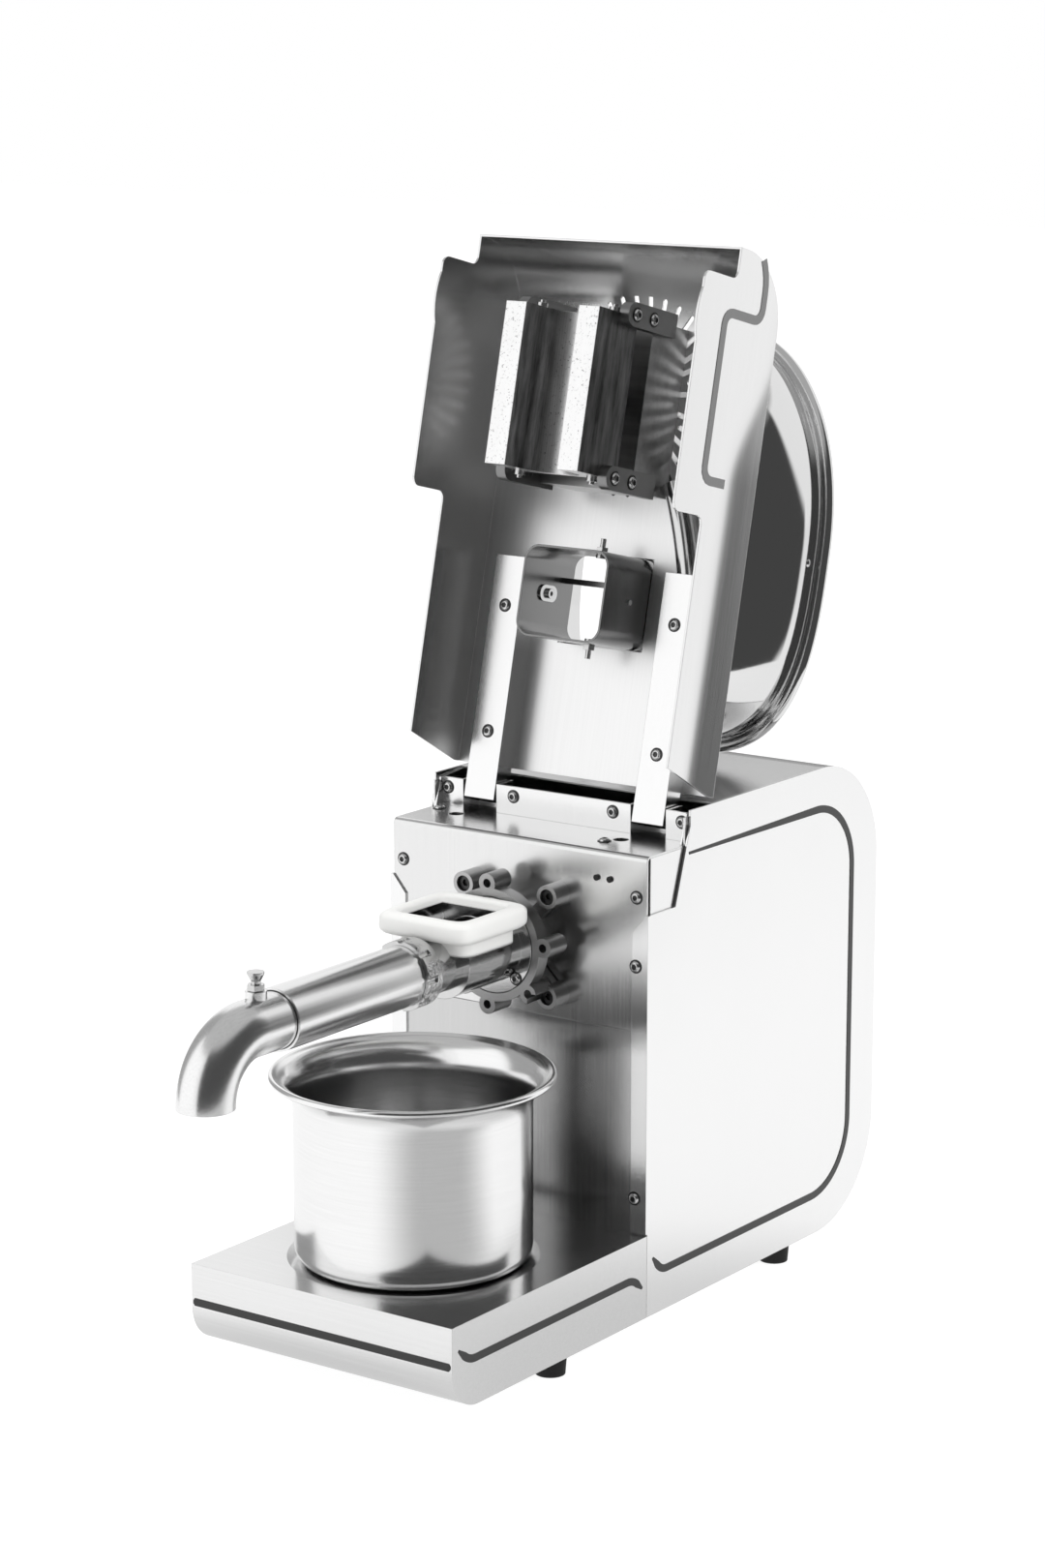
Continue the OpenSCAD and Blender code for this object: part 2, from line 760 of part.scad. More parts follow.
// The square inlet that stands on the chamber, inset by i, with a sloped front foot
module inlet_fill(i) {
    w = feed_w / 2 - inlet_fit - i;
    front = collar_y - feed_l / 2 + inlet_fit + i;
    rear = collar_y + feed_l / 2 - inlet_fit - i;
    top = collar_top - 3;
    along_x(-w, 2 * w) polygon([[front, top + i], [rear, top + i], [rear, axis_z + 6],
        [chamber_end + i, axis_z + 6], [chamber_end + i, axis_z + 15], [front, axis_z + 21]]);
}

module press_chamber() {
    slot_y = chamber_end + barrel_seat;
    color("silver") machine() {
        difference() {
            union() {
                rod_y(chamber_flange_y, flange_y, axis_z, chamber_flange_r);
                rod_y(chamber_end, flange_y, axis_z, chamber_r);
            }
            rod_y(chamber_end - 1, 1, axis_z, barrel_bore);
            rod_y(chamber_end - 1, slot_y, axis_z, barrel_r + 0.02);
            translate([-barrel_bore + 0.5, slot_y, axis_z])
                cube([2 * barrel_bore - 1, collar_y + feed_l / 2 - 2 - slot_y, chamber_r + 5]);
            for (a = chamber_angles)
                rod_y(chamber_flange_y - 1, flange_y + 1, axis_z + chamber_pcd * sin(a), 1.7,
                    chamber_pcd * cos(a));
        }
        difference() {
            inlet_fill(0);
            inlet_fill(inlet_t);
            rod_y(-200, 0, axis_z, chamber_r - 0.6);
        }
    }
}

module chamber_screws() {
    color("dimgray") machine() for (a = chamber_angles)
        translate([chamber_pcd * cos(a), chamber_flange_y, axis_z + chamber_pcd * sin(a)]) rotate([90, 0, 0])
            screw(head_r = 3, head_h = 1.6, shank = 9);
}

// Feed collar: a thick rounded frame on a skirt that saddles the chamber
module feed_collar() {
    skirt = 4;
    color("white") machine() difference() {
        union() {
            translate([0, collar_y, collar_top - collar_t]) linear_extrude(collar_t)
                round_rect(-collar_w / 2, -collar_l / 2, collar_w / 2, collar_l / 2, 9);
            translate([0, collar_y, axis_z + 6]) linear_extrude(collar_up - 8)
                round_rect(-chamber_r - skirt, -10.5, chamber_r + skirt, collar_l / 2 - 4, 5);
        }
        translate([-feed_w / 2, collar_y - feed_l / 2, axis_z]) cube([feed_w, feed_l, collar_up + 1]);
        rod_y(-200, 0, axis_z, chamber_r + 0.02);
    }
}

// Slotted barrel: oil leaves through the slits under its bare neck
module press_barrel() {
    color("gainsboro") machine() difference() {
        rod_y(barrel_end, chamber_end + barrel_seat, axis_z, barrel_r);
        rod_y(barrel_end - 1, chamber_end + barrel_seat + 1, axis_z, barrel_bore);
        for (k = [0 : 4])
            translate([-9, chamber_end - 5 - 3.4 * k, axis_z - barrel_r - 1]) cube([18, 1.2, barrel_r - 3]);
    }
}

module lock_ring() {
    color("lightgray") machine() difference() {
        rod_y(ring_y0 - ring_len, ring_y0, axis_z, ring_r);
        rod_y(ring_y0 - ring_len - 1, ring_y0 + 1, axis_z, barrel_r + thread_gap);
        for (a = [0 : 45 : 315])
            rod_y(ring_y0 - ring_len - 1, ring_y0 - 4, axis_z + (ring_r + 1) * sin(a), 2.2,
                (ring_r + 1) * cos(a));
    }
}

module barrel_sleeve() {
    color("silver") machine() difference() {
        rod_y(sleeve_y1, sleeve_y0, axis_z, sleeve_r);
        rod_y(sleeve_y1 - 1, sleeve_y0 + 1, axis_z, sleeve_bore);
    }
}

// The screw: a straight core, a plain drive end in the gearbox and one long flight
module press_screw() {
    core_r = 7.4;
    flight_r = barrel_bore - 0.5;
    y_end = barrel_end + 4;
    flight = flange_y - 2 - y_end;
    turns = 6;
    points = 12;
    color("dimgray") machine() {
        rod_y(flange_y + 1, box_y0 + box_wall + 3.5, axis_z, shaft_r);
        rod_y(box_y0 + box_wall + 3, box_y1 - 2, axis_z, shaft_r - 1 - 0.02);
        rod_y(flange_y - 4, flange_y + 1.5, axis_z, core_r - 1);
        translate([0, flange_y - 2, axis_z]) rotate([90, 0, 0])
            linear_extrude(flight, twist = -360 * turns, slices = 8 * turns, convexity = 4, $fn = 8)
                polygon([for (k = [0 : points - 1])
                    let (a = k * 360 / points, r = k < 2 || k > points - 2 ? flight_r : core_r)
                    r * [cos(a), sin(a)]]);
    }
}

// The elbow turns in the sleeve's end and is held there by the thumb screw
module elbow_spout() {
    bore = elbow_r - elbow_wall;
    color("silver") machine() {
        difference() {
            union() {
                rod_y(elbow_y1, elbow_y0, axis_z, elbow_r);
                translate([0, thumb_y, axis_z]) cylinder(h = boss_top - axis_z, r = boss_r);
            }
            rod_y(elbow_y1 - 1, elbow_y0 + 1, axis_z, bore);
            translate([0, thumb_y, axis_z]) cylinder(h = 60, r = 2.5 + thread_gap);
        }
        translate([0, elbow_y1, axis_z - elbow_bend]) rotate([90, 0, 90]) rotate(90)
            rotate_extrude(angle = 90) translate([elbow_bend, 0]) difference() {
                circle(elbow_r);
                circle(bore);
            }
    }
}

module thumb_screw() {
    color("lightgray") machine() translate([0, thumb_y, 0]) {
        translate([0, 0, boss_top - 4]) cylinder(h = 10, r = 2.5);
        translate([0, 0, boss_top + 0.2]) cylinder(h = 3, r = 4.6, $fn = 6);
        translate([0, 0, boss_top + 5]) cylinder(h = 3.4, r1 = 2.6, r2 = 4.4);
        translate([0, 0, boss_top + 8.4]) cylinder(h = 1.2, r = 4.4);
    }
}

// Electrics

module mains_inlet() {
    color([0.12, 0.12, 0.12]) machine() translate([inlet_pos[0], rear_y, inlet_pos[1]]) difference() {
        union() {
            translate([-16, 0, -12.5]) cube([32, rear_proud, 25]);
            translate([-13.5, -20, -10]) cube([27, 20 + eps, 20]);
        }
        translate([-12, -15, -8.5]) cube([24, 20, 17]);
    }
    color("gainsboro") machine() translate([inlet_pos[0], rear_y, inlet_pos[1]])
        for (p = [[-7, -1], [0, 3], [7, -1]]) translate([p[0] - 1, -15 - eps, p[1] - 2]) cube([2, 14, 4]);
}

module fuse_holder() {
    color([0.15, 0.15, 0.15]) machine() difference() {
        union() {
            rod_y(rear_y, rear_y + rear_proud, fuse_pos[1], 8, fuse_pos[0]);
            rod_y(rear_y - 22, rear_y + eps, fuse_pos[1], 6, fuse_pos[0]);
        }
        translate([fuse_pos[0] - 5, rear_y + 1.2, fuse_pos[1] - 0.8]) cube([10, 4, 1.6]);
    }
}

module switch_frames() {
    color([0.12, 0.12, 0.12]) machine() for (x = rocker_x) translate([x, rear_y, rocker_z]) difference() {
        union() {
            translate([-rocker_w / 2 - 3, 0, -rocker_h / 2 - 3]) cube([rocker_w + 6, 2, rocker_h + 6]);
            translate([-rocker_w / 2 - 1.5, -16, -rocker_h / 2 - 1.5])
                cube([rocker_w + 3, 16 + eps, rocker_h + 3]);
        }
        translate([-rocker_w / 2 - 0.4, -9, -rocker_h / 2 - 0.4])
            cube([rocker_w + 0.8, 20, rocker_h + 0.8]);
        translate([-rocker_w / 2 - 2, -3.5, 0]) rotate([0, 90, 0]) cylinder(h = rocker_w + 4, r = 1.05);
    }
}

// A rocker cap that rolls about its trunnions, rest position with its lower end in
module rocker(x) {
    tilt = 8;
    color([0.1, 0.1, 0.1]) machine() translate([x, rear_y - 3.5, rocker_z]) rotate([-tilt, 0, 0]) {
        intersection() {
            translate([-rocker_w / 2, -3, -rocker_h / 2 + 0.6]) cube([rocker_w, 10, rocker_h - 1.2]);
            translate([0, -5, 0]) rotate([0, 90, 0]) cylinder(h = rocker_w, r = 9.9, center = true);
        }
        rotate([0, 90, 0]) cylinder(h = rocker_w + 2.4, r = 1, center = true);
    }
}

module press_rocker() {
    rocker(rocker_x[0]);
}

module heat_rocker() {
    rocker(rocker_x[1]);
}

module control_board() {
    y = 178;
    color("darkgreen") machine() translate([-chassis_half, y - 60, 30]) difference() {
        union() {
            translate([8, 0, 0]) cube([1.6, 70, 90]);
            for (p = [[6, 6], [6, 84], [64, 6], [64, 84]])
                translate([0, p[0], p[1]]) rotate([0, 90, 0]) cylinder(h = 8 + eps, r = 3);
            translate([9.6 - eps, 10, 15]) cube([14, 22, 30]);
            translate([9.6 - eps, 42, 20]) rotate([0, 90, 0]) cylinder(h = 20, r = 7);
            translate([9.6 - eps, 40, 50]) cube([16, 20, 16]);
        }
        for (p = [[6, 6], [6, 84], [64, 6], [64, 84]])
            translate([4, p[0], p[1]]) rotate([0, 90, 0]) cylinder(h = 10, r = 1.3);
    }
}

// Lid switch behind the front panel, with its two small screws showing
module lid_switch() {
    color([0.15, 0.15, 0.15]) machine() {
        translate([switch_x - 10, sheet, deck_z - 22]) cube([20, 7, 12]);
        for (s = [-1, 1]) {
            rod_y(-0.9, sheet + eps, deck_z - 15, 1.05, switch_x + s * switch_pitch);
            rod_y(-1.1, 0, deck_z - 15, 1.7, switch_x + s * switch_pitch);
        }
    }
}

// Lid, drawn shut

// The lid's side, inset by i along its top and nose
module lid_fill(i = 0, drop = 0) {
    low = lid_deep_z - drop;
    translate([-lid_front + nose_r, body_h - nose_r]) circle(nose_r - i);
    translate([-lid_front + nose_r, low]) square([lid_rear_y + lid_front - nose_r + drop, body_h - i - low]);
    translate([-lid_front + i, low]) square([nose_r - i + eps, body_h - nose_r - low]);
}

// What is cut from the lid's side walls: front notch, rear step and slanted rear end
module lid_wall_cuts() {
    r = 5;
    front = -lid_deep_front;
    difference() {
        translate([front - 40, lid_deep_z - 10]) square([40, lid_end_z - lid_deep_z + 10]);
        translate([front - r, lid_end_z - r]) difference() {
            square(r + 1);
            circle(r);
        }
    }
    difference() {
        translate([lid_step_y, lid_deep_z - 10]) square([300, lid_edge_z - lid_deep_z + 10]);
        translate([lid_step_y, lid_edge_z - r]) difference() {
            translate([-1, 0]) square([r + 1, r + 1]);
            translate([r, 0]) circle(r);
        }
    }
    for (c = [[front + r, 1], [lid_step_y - r, -1]])
        translate([c[0], lid_deep_z + r]) difference() {
            translate([c[1] > 0 ? -r - 1 : 0, -r - 1]) square(r + 1);
            circle(r);
        }
    polygon([[lid_rear_low_y, lid_edge_z - 1], [lid_rear_low_y, lid_edge_z], [lid_rear_y, lid_in_z - 3.5],
        [lid_rear_y, body_h - 3], [lid_rear_y + 20, body_h - 3], [lid_rear_y + 20, lid_edge_z - 1]]);
}

// Radial vent slots over the heater, long and short in turn
module vent_slots() {
    count = 36;
    r = 1.4;
    outer = 54;
    translate([0, vent_y, body_h - 5]) for (k = [0 : count - 1]) rotate((k + 0.5) * 360 / count)
        linear_extrude(10) {
            inner = k % 2 == 0 ? 36 : 26;
            translate([inner, -r]) square([outer - inner, 2 * r]);
            for (x = [inner, outer]) translate([x, 0]) circle(r);
        }
}

module lid_shell() {
    fit = chute_fit;
    color("whitesmoke") open_lid() difference() {
        along_x(-half, body_w) difference() {
            lid_fill();
            lid_wall_cuts();
        }
        along_x(-in_half, 2 * in_half) lid_fill(sheet, 10);
        translate([-chute_half - fit, chute_y - chute_half_l - fit, body_h - 5])
            cube([2 * (chute_half + fit), 2 * (chute_half_l + fit), 10]);
        vent_slots();
    }
}

// A point of the hopper's plan: egg-shaped rim, rounded square mouth, t from mouth to rim
function hopper_grow(t) = 1 - pow(1 - t, 2.6);
function lobe(a, rx, ry, p) =
    let (c = cos(a), s = sin(a), k = pow(pow(abs(c), p) + pow(abs(s), p), -1 / p)) [rx * k * c, ry * k * s];
function hopper_point(a, t, out) =
    let (g = hopper_grow(t), front = sin(a) < 0, p = 8 + (front ? 2.1 - 8 : 3 - 8) * g,
        rx = chute_half + chute_fit + (hopper_half - chute_half) * g,
        ry = chute_half_l + chute_fit
            + ((front ? hopper_front : hopper_rear) - chute_half_l) * g,
        y = chute_y + (-hopper_mid - chute_y) * g, q = lobe(a, rx + out, ry + out, p))
    [q[0], y + q[1]];
function hopper_ring(n, t, out, z) = [for (k = [0 : n - 1])
    let (q = hopper_point(k * 360 / n, t, out)) [q[0], q[1], z]];

module hopper() {
    n = 44;
    steps = 9;
    base = body_h + 0.6;
    wall_top = rim_z - 3.4;
    rings = concat(
        [for (i = [0 : steps]) let (t = i / steps)
            hopper_ring(n, t, hopper_wall, base + (wall_top - base) * pow(t, 1.5))],
        [hopper_ring(n, 1, hopper_wall + hopper_lip, wall_top + 0.4),
            hopper_ring(n, 1, hopper_wall + hopper_lip, rim_z)],
        [for (j = [0 : steps]) let (t = 1 - j / steps)
            hopper_ring(n, t, 0, base + hopper_wall + (wall_top - base) * pow(t, 1.5))]);
    m = len(rings);
    color("gainsboro") open_lid() polyhedron([for (r = rings) each r],
        [for (i = [0 : m - 1], k = [0 : n - 1])
            let (a = i * n + k, b = i * n + (k + 1) % n,
                c = ((i + 1) % m) * n + (k + 1) % n, d = ((i + 1) % m) * n + k)
            each [[a, c, b], [a, d, c]]], convexity = 6);
}

module chute_ring(i) {
    round_rect(-chute_half + i, chute_y - chute_half_l + i, chute_half - i, chute_y + chute_half_l - i, 9 - i);
}

module hopper_chute() {
    color("lightgray") open_lid() difference() {
        translate([0, 0, chute_z0]) linear_extrude(chute_z1 - chute_z0) difference() {
            chute_ring(0);
            chute_ring(chute_t);
        }
        rod_y(-200, 100, bolt_z, screw_hole, 6);
        rod_x(-60, 60, chute_y, bolt_z, screw_hole);
    }
}

module guard_bar() {
    span = chute_half - chute_t;
    color("gray") open_lid() translate([-span, chute_y - 10, body_h - 6]) cube([2 * span, 3, 6]);
}

// Bolts through the chute's walls: nuts outside front and rear, oval washers inside left and right
module chute_fasteners() {
    color("gray") open_lid() {
        for (s = [-1, 1]) {
            face = chute_half_l - chute_t;
            translate([6, chute_y + s * face, bolt_z]) rotate([s * 90, 0, 0]) {
                screw(head_r = 3, head_h = 1.8, shank = 9);
                translate([0, 0, -chute_t - 3]) cylinder(h = 3, r = 3.4, $fn = 6);
            }
            translate([s * (chute_half - chute_t), chute_y, bolt_z]) rotate([0, -s * 90, 0]) {
                linear_extrude(1.2) difference() {
                    round_rect(-8, -4.5, 8, 4.5, 4.4);
                    circle(screw_hole);
                }
                translate([0, 0, 1.2]) screw(head_r = 2.8, head_h = 1.8, shank = 3.6);
            }
        }
    }
}

// Channel strap: web towards the barrel, flanges up to the lid's plate, pin through the tail
module hinge_strap() {
    x0 = strap_x - strap_w / 2;
    y1 = hinge_y + strap_tail;
    top = lid_in_z;
    difference() {
        union() {
            translate([x0, strap_front, strap_z]) cube([strap_w, y1 - strap_front, strap_t]);
            for (x = [x0, x0 + strap_w - strap_t]) {
                translate([x, strap_front, strap_z]) cube([strap_t, lid_rear_y - strap_front, top - strap_z]);
                translate([x, lid_rear_y - 1, strap_z])
                    cube([strap_t, y1 - lid_rear_y + 1, hinge_z + 5 - strap_z]);
            }
        }
        rod_x(x0 - 1, x0 + strap_w + 1, hinge_y, hinge_z, pin_r + pin_gap);
        for (y = strap_screw_y) translate([strap_x, y, strap_z - 1]) cylinder(h = 4, r = screw_hole);
    }
}

module hinge_strap_right() {
    color("whitesmoke") open_lid() hinge_strap();
}

module hinge_strap_left() {
    color("whitesmoke") open_lid() mirror([1, 0, 0]) hinge_strap();
}

// Screws through the straps' webs into posts under the lid's plate
module strap_screws() {
    color("gray") open_lid() both_sides() for (y = strap_screw_y) translate([strap_x, y, strap_z])
        rotate([180, 0, 0]) {
            screw(head_h = 1.2, shank = 4);
            translate([0, 0, -strap_depth]) cylinder(h = strap_depth - strap_t, r = 3.2);
        }
}

// Heater block: it straddles the sleeve when the lid is shut
module heater_block() {
    color([0.45, 0.45, 0.45]) open_lid() difference() {
        translate([-heater_half, heater_y0, heater_z0]) cube([2 * heater_half, heater_l, heater_t]);
        rod_y(heater_y0 - 1, heater_y1 + 1, axis_z, trough_r);
        translate([-trough_r, heater_y0 - 1, heater_z0 - 1])
            cube([2 * trough_r, heater_l + 2, axis_z - heater_z0 + 1]);
        both_sides() rod_y(heater_y0 - 1, heater_y1 + 1, axis_z + 8, 3.1, heater_half - 6.5);
    }
}

module heater_cartridges() {
    color("gainsboro") open_lid() both_sides() {
        rod_y(heater_y0 - 3, heater_y1 + 3, axis_z + 8, 3.05, heater_half - 6.5);
        for (y = [heater_y0 - 4.5, heater_y1 + 3 - eps])
            rod_y(y, y + 1.5 + eps, axis_z + 8, 1.6, heater_half - 6.5);
    }
}

// Four bars hold the block off the mount, with a cross pin at each end
module heater_brackets() {
    pin_z = bracket_z0 + bracket_w / 2;
    color("darkgray") open_lid() both_sides() for (y = [heater_y0, heater_y1]) {
        difference() {
            union() {
                translate([heater_half, y - bracket_w / 2, pin_z])
                    cube([bracket_t, bracket_w, bracket_z1 - pin_z]);
                rod_x(heater_half, heater_half + bracket_t, y, pin_z, bracket_w / 2);
            }
            for (z = heater_screw_z) rod_x(0, half, y, z, screw_hole);
        }
    }
}

// Insulating mount between the heater's brackets and the lid's plate
module heater_mount() {
    side = heater_half - 0.02;
    front = max(heater_y0 - 4, nose_r - lid_front);
    color([0.55, 0.55, 0.55]) open_lid() difference() {
        translate([-side, front, mount_z]) cube([2 * side, heater_y1 + 4 - front, lid_in_z - mount_z]);
        translate([-side + 4, heater_y0 + 4, mount_z + 4]) cube([2 * side - 8, heater_l - 8, 60]);
        for (y = [heater_y0, heater_y1], s = [-1, 1])
            translate([s * side - (s > 0 ? 3 : -3) - 1.5, y - 1.5, mount_z + 6]) cube([3, 3, 3]);
    }
}

module heater_screws() {
    color("dimgray") open_lid() both_sides() for (y = [heater_y0, heater_y1], z = heater_screw_z)
        translate([heater_half + bracket_t, y, z]) rotate([0, 90, 0])
            screw(head_r = 3.2, head_h = 1.6, shank = 5.5);
}

// Metal sleeve over the heater's lead: one long bend from beside the mount into the right strap
module heater_lead() {
    bend = 270;
    slant = [25, 12];
    end = [strap_x + 1.1, strap_front + 9.6];
    color("silver") open_lid() translate([end[0] - bend * cos(slant[1]), end[1] + bend * sin(slant[1]),
        lid_in_z - lead_r - 0.15]) rotate(-slant[0])
            rotate_extrude(angle = slant[0] - slant[1]) translate([bend, 0]) circle(lead_r);
}

module thermostat() {
    color([0.2, 0.2, 0.2]) open_lid() translate([0, -heater_mid, heater_z1]) {
        cylinder(h = 5, r = 7);
        translate([0, 0, 5 - eps]) cylinder(h = 3, r = 5);
        for (x = [-3, 3]) translate([x - 0.4, -2, 8 - 2 * eps]) cube([0.8, 4, 5]);
    }
}

// Bent line of dark tape on each side wall of the lid
module lid_stripes() {
    w = 5;
    r = 7;
    low = body_h - 53;
    high = body_h - 17.5;
    turn = r - lid_front + 35;
    bend = concat([[lid_step_y - 19, low + 21]], arc([lid_step_y - 19 - r, low + r], r, 0, -90, 4),
        arc([turn, low + r], r, -90, -180, 5), arc([turn - 2 * r, high - r], r, 0, 90, 5),
        arc([turn - 2 * r - 8, high - 30], 30, 90, 125, 4));
    color([0.15, 0.15, 0.15]) open_lid() both_sides() along_x(half, 0.3)
        ribbon(bend, w);
}

base_tray();
side_panel_right();
side_panel_left();
front_panel();
lower_front_panel();
rear_shell();
chassis();
hinge_bracket();
hinge_pin();
rubber_feet();
panel_screws();
body_stripes();
gearbox_flange();
gearbox_housing();
gearbox_cover();
flange_screws();
motor_can();
motor_end_bell();
motor_cradle();
shaft_bearings();
press_chamber();
chamber_screws();
feed_collar();
press_barrel();
barrel_sleeve();
mains_inlet();
fuse_holder();
switch_frames();
control_board();
lid_switch();
lid_shell();
hopper();
hopper_chute();
guard_bar();
chute_fasteners();
hinge_strap_right();
hinge_strap_left();
strap_screws();
heater_block();
heater_cartridges();
heater_brackets();
heater_mount();
heater_screws();
heater_lead();
thermostat();
lid_stripes();
press_screw();
output_gear();
intermediate_gear();
motor_rotor();
cooling_fan();
elbow_spout();
thumb_screw();
lock_ring();
oil_bowl();
press_rocker();
heat_rocker();
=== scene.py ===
"""Looks of a table-top screw oil press with its lid open: brushed and polished steel, cast flange, white collar."""
import math

import bmesh
import bpy
from mathutils import Matrix, Vector


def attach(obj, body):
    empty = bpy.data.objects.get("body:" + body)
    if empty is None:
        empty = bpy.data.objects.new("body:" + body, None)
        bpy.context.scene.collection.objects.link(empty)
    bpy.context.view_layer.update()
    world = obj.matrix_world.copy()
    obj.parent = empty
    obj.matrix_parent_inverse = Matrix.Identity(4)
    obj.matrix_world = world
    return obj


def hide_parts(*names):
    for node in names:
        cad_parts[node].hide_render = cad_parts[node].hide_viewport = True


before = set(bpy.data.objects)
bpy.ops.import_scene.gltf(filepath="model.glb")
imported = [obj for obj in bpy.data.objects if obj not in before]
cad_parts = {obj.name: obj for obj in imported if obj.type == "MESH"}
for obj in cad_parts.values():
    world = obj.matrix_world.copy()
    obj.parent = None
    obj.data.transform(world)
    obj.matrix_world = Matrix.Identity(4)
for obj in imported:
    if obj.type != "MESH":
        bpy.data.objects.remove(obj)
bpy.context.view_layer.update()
MM = 0.001
scene = bpy.context.scene
scene.view_settings.view_transform = "Standard"

# Places are in millimetres of the machine, whose front panel is at y = 0 and whose casing starts at z = 0. The
# part's own frame stands on the floor, under the middle of the press.
FRONT_Y, FLOOR_Z = 18.8, 12.0
HALF_W, REAR_Y, BODY_H = 85.0, 235.0, 272.0
TRAY_D = 174.6
AXIS_Z = 199.0
DECK_Z = BODY_H - 18.4
HINGE = Vector((0.0, 50.0 + FRONT_Y, 264.0 + FLOOR_Z))
LID_OPEN = math.radians(-103.5)
LID = Matrix.Translation(HINGE * MM) @ Matrix.Rotation(LID_OPEN, 4, "X") @ Matrix.Translation(-HINGE * MM)
LID_TURN = LID.to_3x3()
FORWARD, UPWARD, INTO_LID = Vector((0, -1, 0)), Vector((0, 0, 1)), LID_TURN @ Vector((0, 0, -1))


def mach(x, y, z):
    """A point of the machine frame in metres of the part."""
    return Vector((x, y + FRONT_Y, z + FLOOR_Z)) * MM


def on_lid(x, y, z):
    """A point that is given with the lid shut, where it is with the lid open."""
    return LID @ mach(x, y, z)


def angles(first, stop, step):
    """Radians of every step from the first degree up to the stop."""
    return [math.radians(d) for d in range(first, stop, step)]


# Materials

def hexcol(code):
    """sRGB hex to linear RGBA."""
    def lin(c):
        return c / 12.92 if c <= 0.04045 else ((c + 0.055) / 1.055) ** 2.4
    return tuple(lin(int(code[i:i + 2], 16) / 255) for i in (1, 3, 5)) + (1.0,)


def shades(code, share):
    """The two ends of a finish's tone: its colour made darker and lighter by a share."""
    base = hexcol(code)[:3]
    return tuple(c * (1 - share) for c in base) + (1,), tuple(min(1, c * (1 + share)) for c in base) + (1,)


def add(tree, kind, links=(), **settings):
    """One shader node: settings are its properties or sockets, links are (socket, source output)."""
    n = tree.nodes.new("ShaderNode" + kind)
    for key, value in settings.items():
        if hasattr(n, key):
            setattr(n, key, value)
        else:
            n.inputs[key.replace("_", " ")].default_value = value
    for socket, source in links:
        tree.links.new(source, n.inputs[socket])
    return n


def blank(name):
    """A new material with no nodes, and its tree."""
    mat = bpy.data.materials.new(name)
    mat.use_nodes = True
    mat.node_tree.nodes.clear()
    return mat, mat.node_tree


def metres(sizes):
    """Sizes in mm as metres, which a Mapping of type TEXTURE divides by to count features along each axis."""
    return tuple(size * MM for size in sizes)


# Brush marks are 120 mm long. Real ones are about 0.1 mm wide, too fine to show, so they are drawn 1.1 mm wide.
MARK_L, MARK_W = 120, 1.1
ACROSS, ALONG, UP = (MARK_L, MARK_W, MARK_W), (MARK_W, MARK_L, MARK_W), (MARK_W, MARK_W, MARK_L)
SMUDGE_MM = 45
MARK_DEEP, GRAIN_DEEP = 0.4 * MM, 0.3 * MM


def metal(name, code, rough, feature, spread=0.05, bump=0.02, edge=0.4, smudge=0.04, shade=0.06):
    """Metal with brush marks: noise drawn out along one axis varies its roughness, tone and normal."""
    mat, t = blank(name)
    where = add(t, "TexCoord").outputs["Object"]
    drawn = add(t, "Mapping", [("Vector", where)], vector_type="TEXTURE", Scale=metres(feature))
    lines = add(t, "TexNoise", [("Vector", drawn.outputs[0])], Scale=1.0, Detail=3.0, Roughness=0.6)
    cloud = add(t, "TexNoise", [("Vector", where)], Scale=1000 / SMUDGE_MM, Detail=3.0)
    fine = add(t, "MapRange", [("Value", lines.outputs[0])], To_Min=rough - spread, To_Max=rough + spread)
    wide = add(t, "MapRange", [("Value", cloud.outputs[0])], To_Min=-smudge, To_Max=smudge)
    total = add(t, "Math", [(0, fine.outputs[0]), (1, wide.outputs[0])], operation="ADD", use_clamp=True)
    low, high = shades(code, shade)
    tone = add(t, "MixRGB", [("Fac", lines.outputs[0])], Color1=low, Color2=high)
    soft = add(t, "Bevel", samples=4, Radius=edge * MM)
    ripple = add(t, "Bump", [("Height", lines.outputs[0]), ("Normal", soft.outputs[0])],
                 Strength=bump, Distance=MARK_DEEP)
    s = add(t, "BsdfPrincipled", [("Base Color", tone.outputs[0]), ("Roughness", total.outputs[0]),
                                  ("Normal", ripple.outputs[0])], Metallic=1.0)
    add(t, "OutputMaterial", [("Surface", s.outputs[0])])
    return mat


def moulded(name, code, rough, grain_mm=0.8, bump=0.05, edge=0.4, shade=0.05):
    """A moulded or painted finish: fine grain in its tone and normal, and softened edges."""
    mat, t = blank(name)
    where = add(t, "TexCoord").outputs["Object"]
    grain = add(t, "TexNoise", [("Vector", where)], Scale=1000 / grain_mm, Detail=2.0)
    low, high = shades(code, shade)
    tone = add(t, "MixRGB", [("Fac", grain.outputs[0])], Color1=low, Color2=high)
    soft = add(t, "Bevel", samples=4, Radius=edge * MM)
    ripple = add(t, "Bump", [("Height", grain.outputs[0]), ("Normal", soft.outputs[0])],
                 Strength=bump, Distance=GRAIN_DEEP)
    s = add(t, "BsdfPrincipled", [("Base Color", tone.outputs[0]), ("Normal", ripple.outputs[0])], Roughness=rough)
    add(t, "OutputMaterial", [("Surface", s.outputs[0])])
    return mat


# Heater: specks of burnt oil 1.4 mm across, stains 40 mm long down the trough
SPECK_MM, STAIN = 1.4, (5, 40, 5)
FACE_STOPS = ((0.30, "#8E8E8E"), (0.42, "#F8F8F8"))
SIDEWAYS_STOPS = ((0.32, "#3C3C3C"), (0.72, "#9A9A9A"))


